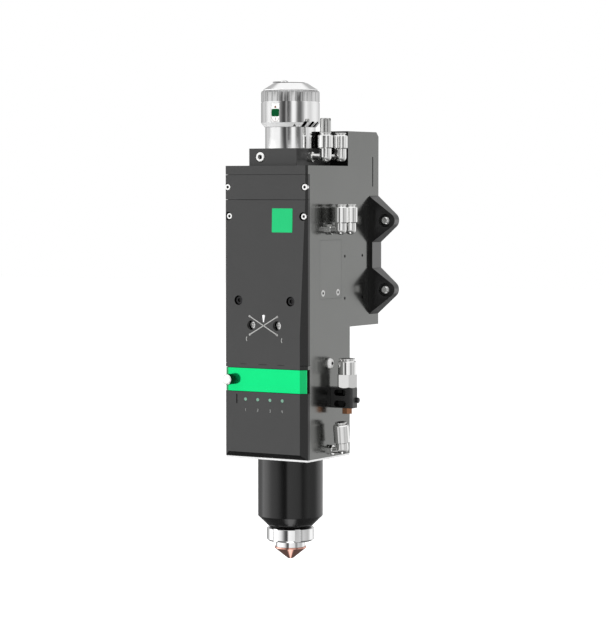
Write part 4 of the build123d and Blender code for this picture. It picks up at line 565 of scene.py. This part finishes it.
def draw_numbers(shape):
    """The numbers 1 to 4, one under each light."""
    for x, digit in zip(light_spots, sorted(digit_strokes)):
        for start, end in digit_strokes[digit]:
            points = [
                (x + (u - 0.5) * digit_width, numbers_z + v * digit_height) for u, v in (start, end)
            ]
            stroke(shape, *points, digit_line)


grey_print = smooth_plain("grey_print", (0.36, 0.37, 0.36), 0.5)
add_piece("light_numbers", "head", grey_print, draw_numbers)


# The badge. A thin square plate of green enamelled aluminium, let into the main cover; it is
# left bare.
badge_side = 0.0207
badge_middle = (0.01725, 0.03185)
badge_corner = 0.0006
badge_proud = 0.00025
badge_thickness = 0.0006


def round_cornered(width, height, radius, steps=5):
    """The outline of a rectangle with round corners, as (across, up) from its middle."""
    points = []
    for quarter in range(4):
        turn = quarter * math.pi / 2
        side = (1 if quarter in (0, 3) else -1, 1 if quarter in (0, 1) else -1)
        middle = (side[0] * (width / 2 - radius), side[1] * (height / 2 - radius))
        for step in range(steps + 1):
            angle = turn + step / steps * math.pi / 2
            across, up = radius * math.cos(angle), radius * math.sin(angle)
            points.append((middle[0] + across, middle[1] + up))
    return points


def draw_badge(shape):
    """The bare plate."""
    middle_x, middle_z = badge_middle
    outline = round_cornered(badge_side, badge_side, badge_corner)
    face = [on_front(middle_x + u, middle_z + v, badge_proud) for u, v in reversed(outline)]
    slab(shape, face, badge_thickness)


badge_green = blasted("badge_green", (0.006, 0.55, 0.18), 0.3, 0.3, 0.0012)
badge = add_piece("badge_plate", "head", badge_green, draw_badge)
badge_ease = badge.modifiers.new("ease", "BEVEL")
badge_ease.width = 0.0001
badge_ease.segments = 2
badge_ease.limit_method = "ANGLE"


# The print round the adjusters. A pale grey cross shows the two diagonals that they move the
# lens along, a white wedge points at its middle, and two short curves mark their turning.
cross_lines = (
    ((-0.01568, -0.05079), (0.01428, -0.06722)), ((0.01401, -0.05072), (-0.01509, -0.06758)),
)
cross_width = 0.00085
tip_length = 0.0018
tip_width = 0.0016
curve_middles = ((-0.0152, -0.0710), (0.0206, -0.0714))
curve_radius = 0.0028
curve_half_angle = 42
curve_steps = 6
curve_width = 0.0006
wedge_top = (-0.0005, -0.0505)
wedge_foot = (-0.0004, -0.0560)
wedge_widths = (0.0026, 0.0009)
wedge_crown = 0.6  # of its top's half width
wedge_steps = 8


def draw_cross(shape):
    """Two crossing lines with thicker tips, and the two curves."""
    for start, end in cross_lines:
        stroke(shape, start, end, cross_width)
        along = (Vector(end) - Vector(start)).normalized()
        for point, way in ((start, 1), (end, -1)):
            stroke(shape, point, Vector(point) + along * tip_length * way, tip_width)
    for middle in curve_middles:
        spots = []
        for step in range(curve_steps + 1):
            turn = (2 * step / curve_steps - 1) * curve_half_angle
            angle = math.radians(180 + turn)
            out = Vector((math.cos(angle), math.sin(angle))) * curve_radius
            spots.append(Vector(middle) + out)
        for start, end in zip(spots, spots[1:]):
            stroke(shape, start, end, curve_width)


def draw_wedge(shape):
    """A wedge with a rounded top."""
    top_half, foot_half = (width / 2 for width in wedge_widths)
    outline = [(wedge_foot[0] + side * foot_half, wedge_foot[1]) for side in (-1, 1)]
    for step in range(wedge_steps + 1):
        angle = step / wedge_steps * math.pi
        rise = top_half * math.sin(angle) * wedge_crown
        outline.append((wedge_top[0] + top_half * math.cos(angle), wedge_top[1] + rise))
    slab(shape, [on_front(x, z, print_proud) for x, z in outline], print_depth)


pale_print = smooth_plain("pale_print", (0.42, 0.42, 0.41), 0.5)
white_print = smooth_plain("white_print", grey(0.9), 0.45)
add_piece("adjuster_cross", "head", pale_print, draw_cross)
add_piece("adjuster_wedge", "head", white_print, draw_wedge)


# The rail over the drawer. A strip of the housing, closed to the main cover by a grey sealing
# strip in the seam; three short black marks are printed along the strip.
rail_seam_z = -0.09285
rail_seal_reach = 0.0364
rail_seal_width = 0.0009
rail_mark_width = 0.0006
rail_mark_proud = 0.00008
rail_marks = ((-0.0238, -0.0177), (-0.0054, 0.0030), (0.0136, 0.0207))


def draw_rail_seal(shape):
    """The strip, from side to side."""
    ends = [Vector((side * rail_seal_reach, rail_seam_z)) for side in (-1, 1)]
    stroke(shape, *ends, rail_seal_width)


def draw_rail_marks(shape):
    """The three short marks on it."""
    for start, end in rail_marks:
        corners = [(start, -1), (end, -1), (end, 1), (start, 1)]
        face = [
            on_front(x, rail_seam_z + side * rail_mark_width / 2, rail_mark_proud)
            for x, side in corners
        ]
        slab(shape, face, print_depth)


black_print = smooth_plain("black_print", grey(0.012), 0.5)
seal_grey = blasted("seal_grey", grey(0.066), 0.3, 0.5)
add_piece("rail_seal", "head", seal_grey, draw_rail_seal)
add_piece("rail_marks", "head", black_print, draw_rail_marks)


# The window drawer. Its front is aluminium anodised a bright green; behind it a tray of clear
# anodised aluminium slides in the housing and holds the window under a rubber ring.
def clear_glass(name, tint):
    """Coated optical glass: nearly clear, with a faint coloured bloom."""
    finish, shader, place = new_finish(name)
    feed(
        shader,
        base_color=noise(place, 0.01).blend(*shades(tint, 0.05)),
        roughness=0.02,
        alpha=0.35,
        metallic=0.0,
        coat_weight=1.0,
    )
    return finish


drawer_green = blasted("drawer_green", (0.005, 0.8, 0.24), 0.14, 0.85)
# A darker green for the drawer front's chamfers: painted shade.
drawer_shaded_edge_green = blasted("drawer_shaded_edge_green", (0.009, 0.55, 0.17), 0.14, 0.85)
clear_anodised = blasted("clear_anodised", (0.6, 0.6, 0.61), 0.3, 0.85)
black_rubber = blasted("black_rubber", grey(0.02), 0.6, 0.0, 0.0008)
window_glass = clear_glass("window_glass", (0.82, 0.93, 1.0))
dress("drawer_front", drawer_green, edge=0.00025)
dress_faces("drawer_front", drawer_shaded_edge_green, is_bevel)
dress("window_tray", clear_anodised, edge=0.0002)
dress("window_seal", black_rubber)
dress("protective_window", window_glass)


# The drawer's thumb screw. Turned from chromed steel, with a straight knurl, which is blackened,
# rolled round its head; it stays in the drawer's front. Its neck behind the head is drawn black
# too, which is painted shade and darkens its reflection in the green front.
drawer_middle_z = -0.10655
thumb_x = -0.0333
thumb_head_front = -0.1348
thumb_head_back = -0.1278
knurl_ridges = 44
knurl_root = 0.0045
knurl_crest = 0.00468
knurl_front = thumb_head_front + 0.001
knurl_back = thumb_head_back - 0.0007
knurl_edge = 0.00016
knurl_edge_length = 0.00025
bright_face_length = 0.00085


def join_loops(shape, loops):
    """Join rings of points, each to the next, by four-sided faces."""
    for near, far in zip(loops, loops[1:]):
        for step in range(len(near)):
            after = (step + 1) % len(near)
            shape.faces.new((near[step], near[after], far[after], far[step]))


def close_ends(shape, loops):
    """Close the first and the last ring of points."""
    shape.faces.new(loops[0])
    shape.faces.new(list(reversed(loops[-1])))


def draw_knurl(shape):
    """A ridged drum with tapered ends, round the head."""
    loops = []
    for y, shrink in (
        (knurl_front, knurl_edge), (knurl_front + knurl_edge_length, 0),
        (knurl_back - knurl_edge_length, 0), (knurl_back, knurl_edge),
    ):
        loop = []
        for step in range(2 * knurl_ridges):
            radius = (knurl_crest - shrink) if step % 2 else knurl_root
            angle = step / (2 * knurl_ridges) * 2 * math.pi
            loop.append(shape.verts.new((
                thumb_x + radius * math.cos(angle), y, drawer_middle_z + radius * math.sin(angle)
            )))
        loops.append(loop)
    join_loops(shape, loops)
    close_ends(shape, loops)


bright_face = turned_metal("bright_face", (0.93, 0.93, 0.91), 0.16, 0.5, axis=1)
knurl_black_and_neck_shade = blasted("knurl_black_and_neck_shade", grey(0.02), 0.25, 0.8)
dress("thumb_screw", bright_face, edge=0.0002)
# Behind its bright front face the screw is drawn black; on its neck this is painted shade.
dress_faces(
    "thumb_screw", knurl_black_and_neck_shade,
    lambda place, way: place.y > thumb_head_front + bright_face_length,
)
add_piece("thumb_screw_knurl", "thumb_screw", knurl_black_and_neck_shade, draw_knurl)


# The centring stage. Two bright steel adjusters in the main cover push an aluminium frame and
# the lens cell that lies on it; a black threaded ring holds the focusing lens in its cell.
bright_steel = turned_metal("bright_steel", (0.9, 0.9, 0.89), 0.15, 0.85, axis=1)
stage_black = blasted("stage_black", (0.035, 0.035, 0.036), 0.35, 0.7)
lens_glass = clear_glass("lens_glass", (0.78, 0.86, 1.0))
for adjuster in ("adjuster_left", "adjuster_right"):
    dress(adjuster, bright_screw, edge=0.00015)
for slide in ("centring_frame", "focus_lens_cell"):
    dress(slide, clear_anodised, edge=0.0002)
dress("focus_lens_ring", stage_black, edge=0.0002)
dress("focusing_lens", lens_glass)


# The focus drive. An aluminium carriage holds the collimating lens and runs on two ground rods;
# a small motor turns a steel lead screw in its brass nut, with a bearing at the screw's foot.
ground_steel = turned_metal("ground_steel", (0.72, 0.73, 0.74), 0.12)
nut_brass = turned_metal("nut_brass", (0.75, 0.5, 0.25), 0.25)
motor_black = blasted("motor_black", (0.03, 0.03, 0.031), 0.45, 0.3)
for moved, finish in (("collimator_carriage", clear_anodised), ("collimator_ring", stage_black)):
    dress(moved, finish, edge=0.0002)
dress("collimating_lens", lens_glass)
for ground in ("guide_rods", "lead_screw", "screw_bearing"):
    dress(ground, ground_steel)
dress("lead_nut", nut_brass, edge=0.0002)
dress("focus_motor", motor_black, edge=0.0003)


# The control connector. A round socket with a chromed shell, sunk in the top of the rear
# section; five gilt pins stand in its black plastic insert.
shell_chrome = turned_metal("shell_chrome", (0.9, 0.9, 0.89), 0.12)
connector_black = blasted("connector_black", (0.02, 0.02, 0.021), 0.3, 0.0)
gilt = turned_metal("gilt", (0.9, 0.68, 0.3), 0.2)
connector_low, connector_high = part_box("control_connector")
connector_middle = (Vector(connector_low) + Vector(connector_high)) / 2
shell_inside = (connector_high[0] - connector_low[0]) / 2 * 0.8
pin_circle = 0.0036
pin_reach = 0.001
pin_foot_z = connector_middle.z + 0.0001


def is_pin(place, way):
    """The pins that stand in the socket."""
    from_middle = (place - connector_middle).xy.length
    return place.z > pin_foot_z and abs(from_middle - pin_circle) < pin_reach


dress("control_connector", shell_chrome)
dress_faces(
    "control_connector", connector_black,
    lambda place, way: (place - connector_middle).xy.length < shell_inside,
)
dress_faces("control_connector", gilt, is_pin)


# The side service cover. A flat plate let in flush, of the housing's grey, held by two
# countersunk screws; below it a bright button-head screw closes a hole. The plate's faces in the
# seam round it and the screws' sockets are drawn dark: painted shade.
cover_grey = blasted("cover_grey", (0.207, 0.21, 0.204), 0.16, 0.97)
side_steel = turned_metal("side_steel", (0.62, 0.62, 0.61), 0.25, 0.7, axis=0)
button_steel = turned_metal("button_steel", (0.95, 0.95, 0.94), 0.2, 0.15, axis=0)
dress("side_service_cover", cover_grey, edge=0.0002)
# The plate's back and under faces, in its seam, are drawn black: painted shade.
dress_faces("side_service_cover", painted_shade_black, lambda place, way: way.y > 0.9 or way.z < -0.9)
dress_screws(
    "side_cover_screws", side_steel, painted_shade_black,
    axis=0, front=1, radius=0.0016, depth=0.0018, edge=0.00012,
)
dress_screws(
    "side_button_screw", button_steel, socket_shade_grey,
    axis=0, front=1, radius=0.0018, depth=0.002, edge=0.00012,
)


# The mounting plate. Thick aluminium with four sloping ears, anodised black, let into the
# housing's back; threaded studs stand in the ears, and four screws hold it from behind. Its faces
# that look to +X are drawn lighter, which is painted light; the screws' sockets are drawn black,
# which is painted shade.
thread_pitch = 0.0008
thread_root = -0.0001  # under the shank's surface
thread_half_width = 0.42  # of the pitch
thread_run_out = 0.4  # of a turn
rear_thread_height = 0.000108
rear_thread_turns = 3.5
front_thread_height = 0.00018
front_thread_turns = 2.2
thread_start = 0.0009


def thread_ridge(shape, foot, radius, height, turns, steps=24):
    """A screw thread's ridge, wound along +Y from a foot point, its root sunk in the shank."""
    rings = []
    for step in range(int(turns * steps) + 1):
        angle = step / steps * 2 * math.pi
        y = foot[1] + step / steps * thread_pitch
        run_out = steps * thread_run_out
        fade = min(1, step / run_out, (int(turns * steps) - step) / run_out)
        flank = thread_half_width
        ring = []
        for reach, slide in ((thread_root, -flank), (height * fade, 0), (thread_root, flank)):
            ring.append(shape.verts.new((
                foot[0] + (radius + reach) * math.cos(angle),
                y + slide * thread_pitch,
                foot[2] + (radius + reach) * math.sin(angle),
            )))
        rings.append(ring)
    join_loops(shape, rings)
    close_ends(shape, rings)


stud_low, stud_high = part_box("mounting_studs")
stud_rear_radius = 0.003
stud_front_radius = 0.0032
stud_x = stud_high[0] - stud_front_radius
stud_z = stud_high[2] - stud_front_radius
stud_front_y = stud_low[1]


def draw_stud_threads(shape):
    """A thread at each end of the four studs."""
    for side in (-1, 1):
        for end in (-1, 1):
            rear = (side * stud_x, thread_start, end * stud_z)
            front = (side * stud_x, stud_front_y + thread_start, end * stud_z)
            thread_ridge(shape, rear, stud_rear_radius, rear_thread_height, rear_thread_turns)
            thread_ridge(shape, front, stud_front_radius, front_thread_height, front_thread_turns)


plate_black = blasted("plate_black", grey(0.05), 0.28, 0.9)
# A lighter copy of the plate's black for its faces that look to +X: painted light.
plate_lit_side = blasted("plate_lit_side", grey(0.17), 0.28, 0.9)
dress("mounting_plate", plate_black, edge=0.0004)
dress_faces("mounting_plate", plate_lit_side, lambda place, way: way.x > 0.5)
dress("mounting_studs", bright_steel, edge=0.00012)
threads = add_piece("stud_threads", "head", bright_steel, draw_stud_threads, smooth=True)
dress_screws(
    "plate_screws", black_oxide, painted_shade_black,
    axis=1, front=1, radius=0.0026, depth=0.003, edge=0.00015,
)


# The nose. Under a thin bright aluminium plate hangs the sensor body, turned and anodised
# black; a chromed nut clamps the ceramic body, and the copper nozzle screws into its sleeve.
plate_bright = turned_metal("plate_bright", grey(0.9), 0.2, 0.7, pitch=0.0004)
sensor_black = turned_metal(
    "sensor_black", grey(0.004), 0.15, 0.0, pitch=0.0003, depth=0.000001
)
chrome = turned_metal("chrome", grey(0.95), 0.06, depth=0.0000005)
ceramic_white = blasted("ceramic_white", (0.86, 0.86, 0.84), 0.15, 0.0, 0.0015)
nozzle_copper = turned_metal(
    "nozzle_copper", (0.86, 0.46, 0.37), 0.07, pitch=0.0005, depth=0.000004
)
dress("base_plate", plate_bright, edge=0.0002)
dress("sensor_body", sensor_black, edge=0.00025)
dress("lock_nut", chrome, edge=0.0002)
beam_y = -0.0824
sleeve_radius = 0.0126
sleeve_top_z = -0.245


def is_sleeve(place, way):
    """The bright sleeve round the ceramic's lower end."""
    return math.hypot(place.x, place.y - beam_y) > sleeve_radius and place.z < sleeve_top_z


dress("ceramic_body", ceramic_white, edge=0.00025)
dress_faces("ceramic_body", chrome, is_sleeve)
dress("nozzle", nozzle_copper, edge=0.0001)


# The top block. Machined from the same grey aluminium as the housing, but drawn in the darker
# grey of the front, which is painted shade. It carries the fibre socket and the notch's ports,
# and a socket-head screw in its front clamps the socket; the screw's own socket is drawn black,
# which is painted shade.
dress("top_block", shaded_front_grey, edge=0.0003)
dress_screws(
    "clamp_screw", bright_screw, painted_shade_black,
    axis=1, front=-1, radius=0.002, depth=0.003, edge=0.0002,
)


# The fibre socket. A chromed steel neck and, round its barrel, the lock ring, fluted at the top;
# the ring has slots in its foot, drawn black inside as painted shade, and a small white window
# with marks.
ring_low, ring_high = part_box("lock_ring")
ring_foot_z = ring_low[2]
slot_angles = [math.radians(turn) for turn in (-30.8, -12.2, 5.1)]
slot_half_angle = 0.16
slot_radii = (0.0212, 0.0222)
slot_top_z = ring_foot_z + 0.0047
foot_cone_top = ring_foot_z + 0.0052
flute_foot_z = ring_foot_z + 0.0222
cap_silver = turned_metal("cap_silver", grey(0.94), 0.09)
# A diffuse white that stands in for a bright reflection: painted reflection.
painted_reflection_white = turned_metal("painted_reflection_white", grey(0.96), 0.2, 0.15)
dress("fibre_socket_body", chrome, edge=0.0002)
dress("lock_ring", chrome, edge=0.00012)


def in_slot(place, way):
    """The floors and walls of the slots in the ring's foot."""
    out = (place - Vector((0, beam_y, 0))).xy
    from_slot = min(abs(math.atan2(out.y, out.x) - slot) for slot in slot_angles)
    if from_slot > slot_half_angle or not ring_foot_z < place.z < slot_top_z:
        return False
    is_wall = abs(way.xy.dot(out.normalized())) < 0.5
    return out.length > slot_radii[0] and (out.length < slot_radii[1] or is_wall)


def on_foot(place, way):
    """The ring's foot cone, drawn in a diffuse white: a painted reflection."""
    return place.z < foot_cone_top and -0.95 < way.z < -0.2


def is_flute(place, way):
    """The fluted grip's sides, which are drawn in a darker steel: painted shade."""
    return place.z > flute_foot_z and abs(way.z) < 0.5


# A darker copy of the chrome for the flutes: painted shade.
shaded_flute_steel = turned_metal("shaded_flute_steel", grey(0.7), 0.07, depth=0.0000005)
dress_faces("lock_ring", shaded_flute_steel, is_flute)
dress_faces("lock_ring", painted_reflection_white, on_foot)
# The slots are drawn black: painted shade.
dress_faces("lock_ring", painted_shade_black, in_slot)

window_face_y = beam_y - 0.0247
window_foot_z = ring_foot_z + 0.0042
window_size = (0.0085, 0.0164)
window_corner = 0.0006
window_middle_z = window_foot_z + 0.00825
window_proud = 0.0001
window_thickness = 0.00015
mark_proud = 0.00018
mark_thickness = 0.0001
green_mark_size = (0.0078, 0.0066)
green_mark_corner = 0.0012
green_mark_z = window_foot_z + 0.008
dot_radius = 0.001
dot_z = window_foot_z + 0.0129
dot_sides = 16
tick_ends = (window_foot_z + 0.0012, window_foot_z + 0.0037)
tick_width = 0.0006
bow_z = window_foot_z + 0.0034
bow_size = (0.0036, 0.003)
bow_width = 0.0003
bow_steps = 8


def window_print(shape, outline, proud=mark_proud, thickness=mark_thickness):
    """A thin flat piece on the ring's window, from its outline's (across, up) points."""
    slab(shape, [Vector((x, window_face_y - proud, z)) for x, z in outline], thickness)


def raised_outline(width, height, radius, middle_z):
    """A round-cornered outline at a height, in the order that faces forward."""
    return [(x, middle_z + z) for x, z in reversed(round_cornered(width, height, radius))]


def draw_window_plate(shape):
    """The white plate in the ring's flat."""
    outline = raised_outline(*window_size, window_corner, window_middle_z)
    window_print(shape, outline, window_proud, window_thickness)


def draw_green_mark(shape):
    """The green square on the plate."""
    window_print(shape, raised_outline(*green_mark_size, green_mark_corner, green_mark_z))


def draw_dot(shape):
    """The dot over the square."""
    angles = [step / dot_sides * 2 * math.pi for step in reversed(range(dot_sides))]
    outline = [(dot_radius * math.cos(a), dot_z + dot_radius * math.sin(a)) for a in angles]
    window_print(shape, outline)


def draw_window_lines(shape):
    """The tick under the square, and the bow round the plate's foot."""
    window_print(shape, line_corners(*((0, z) for z in tick_ends), tick_width))
    spots = []
    for step in range(bow_steps + 1):
        angle = math.pi + step / bow_steps * math.pi
        spots.append((bow_size[0] * math.cos(angle), bow_z + bow_size[1] * math.sin(angle)))
    for ends in zip(spots, spots[1:]):
        window_print(shape, line_corners(*ends, bow_width))


window_white = smooth_plain("window_white", (0.88, 0.88, 0.87), 0.3)
mark_green = smooth_plain("mark_green", (0.002, 0.075, 0.022), 0.6)
mark_green_shader = mark_green.node_tree.nodes["Principled BSDF"]
mark_green_shader.inputs["Specular IOR Level"].default_value = 0.05
mark_brown = smooth_plain("mark_brown", (0.2, 0.09, 0.05), 0.35)
mark_grey = smooth_plain("mark_grey", (0.3, 0.24, 0.24), 0.4)
for name, finish, draw in (
    ("window_plate", window_white, draw_window_plate),
    ("window_green_mark", mark_green, draw_green_mark),
    ("window_dot", mark_brown, draw_dot),
    ("window_lines", mark_grey, draw_window_lines),
):
    add_piece(name, "lock_ring", finish, draw)


# The index mark. A small grey triangle printed on the ring's foot cone, which shows how far the
# ring is turned.
index_angle = math.radians(-49.7)
index_cone = math.radians(39)
index_radius = 0.0236
index_rise = 0.00125
index_lift = 0.00006
index_corners = ((-0.0014, -0.0011), (0.0014, -0.0011), (0, 0.0015))


def draw_index_mark(shape):
    """A thin triangle that lies on the cone."""
    out = Vector((math.cos(index_angle), math.sin(index_angle), 0))
    up = Vector((0, 0, 1))
    across = up.cross(out)
    along_cone = out * math.sin(index_cone) + up * math.cos(index_cone)
    proud = out * math.cos(index_cone) - up * math.sin(index_cone)
    middle = Vector((0, beam_y, ring_foot_z + index_rise)) + out * index_radius
    loops = []
    for lift in (index_lift, -index_lift):
        spots = [middle + across * u + along_cone * v + proud * lift for u, v in index_corners]
        loops.append([shape.verts.new(spot) for spot in spots])
    join_loops(shape, loops)
    close_ends(shape, loops)


index_grey = smooth_plain("index_grey", (0.055, 0.053, 0.053), 0.5)
add_piece("ring_index_mark", "lock_ring", index_grey, draw_index_mark)


# The dust cap. Turned from bright aluminium and pushed into the socket. A rubber ring lies in
# the groove of its top, and a ring of steel wire hangs in its eye, for a lanyard. Its sides under
# the rim are drawn in a diffuse white, which is a painted reflection.
cap_top_z = ring_high[2] + 0.0066
cap_rim_z = ring_high[2] + 0.001
dress("dust_cap", cap_silver, edge=0.00025)
# The cap's sides under the rim take the diffuse white: painted reflection.
dress_faces("dust_cap", painted_reflection_white, lambda place, way: place.z < cap_rim_z and abs(way.z) < 0.5)
groove_radius = 0.0127
groove_wire = 0.0005
groove_ring_z = cap_top_z + 0.0001
eye_x = -0.006
wire_ring_radius = 0.005
wire_radius = 0.0004
wire_ring_z = cap_top_z + 0.0011
wire_ring_turn = math.radians(31.318)
wire_ring_lean = 0.13


def draw_hoop(shape, middle, first, second, radius, wire, steps=48, sides=12):
    """A round wire bent into a circle that lies along two directions."""
    over = first.cross(second)
    loops = []
    for step in range(steps):
        angle = step / steps * 2 * math.pi
        out = first * math.cos(angle) + second * math.sin(angle)
        loop = []
        for side in range(sides):
            turn = side / sides * 2 * math.pi
            around_wire = out * math.cos(turn) + over * math.sin(turn)
            loop.append(shape.verts.new(middle + out * radius + around_wire * wire))
        loops.append(loop)
    join_loops(shape, loops + loops[:1])


def draw_groove_ring(shape):
    """The rubber ring in the groove."""
    middle = Vector((0, beam_y, groove_ring_z))
    draw_hoop(shape, middle, Vector((1, 0, 0)), Vector((0, 1, 0)), groove_radius, groove_wire)


def draw_wire_ring(shape):
    """The wire ring, which leans over to one side of the eye."""
    along, across = math.cos(wire_ring_turn), math.sin(wire_ring_turn)
    leftward = Vector((-along, -across, 0))
    forward = Vector((across, -along, -wire_ring_lean)).normalized()
    middle = Vector((eye_x, beam_y, wire_ring_z)) + leftward * wire_ring_radius
    draw_hoop(shape, middle, leftward, forward, wire_ring_radius, wire_radius)


ring_steel = smooth_plain("ring_steel", grey(0.5), 0.2, 0.9)
add_piece("cap_groove_ring", "dust_cap", black_rubber, draw_groove_ring, smooth=True)
add_piece("cap_wire_ring", "dust_cap", ring_steel, draw_wire_ring, smooth=True)


# The push-in elbows. Nickel-plated brass, each turned on its threaded leg; a thin release
# collet stands out of its mouth. A slotted plug of the same metal closes the front one.
fitting_nickel = turned_metal("fitting_nickel", (0.95, 0.95, 0.94), 0.08, depth=0.0000008)
collet_nickel = turned_metal("collet_nickel", (0.85, 0.85, 0.84), 0.14)
elbows = (
    "notch_elbow_front", "notch_elbow_rear", "side_elbow_front", "side_elbow_rear", "low_elbow"
)


def dress_collet(node):
    """A bright collet whose bore is drawn black: painted shade."""
    low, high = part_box(node)
    middle = (Vector(low) + Vector(high)) / 2

    def is_bore(place, way):
        """The faces that look at the collet's own axis."""
        return way.xy.dot((place - middle).xy.normalized()) < -0.6

    dress(node, collet_nickel, edge=0.00012)
    dress_faces(node, painted_shade_black, is_bore)


for elbow in elbows:
    dress(elbow, fitting_nickel, edge=0.00015)
    dress_collet(f"{elbow}_collet")
plug_nickel = turned_metal("plug_nickel", (0.6, 0.6, 0.59), 0.16)
dress("port_plug", plug_nickel, edge=0.00015)


# The gas inlet. A block of aluminium anodised black, screwed to the housing's side; a large
# push-in fitting stands on a hexagon on its top, and a brass plug closes its lower port. The
# block's +X face is drawn lighter, which is painted light; its slots, and the parts of the
# fitting and the plug inside it, are drawn black, which is painted shade.
gas_black = blasted("gas_black", grey(0.05), 0.32, 0.6)
plug_brass = turned_metal("plug_brass", (0.5, 0.24, 0.13), 0.12)
block_low, block_high = (Vector(corner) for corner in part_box("gas_block"))
# A lighter copy of the block's black for its face that looks to +X: painted light.
block_lit_side_black = blasted("block_lit_side_black", (0.085, 0.085, 0.083), 0.32, 0.6)
block_margin = 0.0003
block_end = 0.003


def is_block_slot(place, way):
    """The floors and walls of the block's two slots."""
    for side in (1, 2):
        if not block_low[side] + block_margin < place[side] < block_high[side] - block_margin:
            return False
    return place.x < block_high.x - block_end


dress("gas_block", gas_black, edge=0.00025)
dress_faces("gas_block", block_lit_side_black, lambda place, way: way.x > 0.95)
dress_faces("gas_block", painted_shade_black, is_block_slot)
dress("gas_block_screw", black_oxide, edge=0.00015)
dress("gas_fitting", fitting_nickel, edge=0.0002)
# The fitting's stem inside the block is drawn black: painted shade.
dress_faces("gas_fitting", painted_shade_black, lambda place, way: place.z < block_high.z)
dress_collet("gas_fitting_collet")
dress("gas_plug", plug_brass, edge=0.0002)
# The plug's part inside the block is drawn black: painted shade.
dress_faces("gas_plug", painted_shade_black, lambda place, way: place.z > block_low.z)
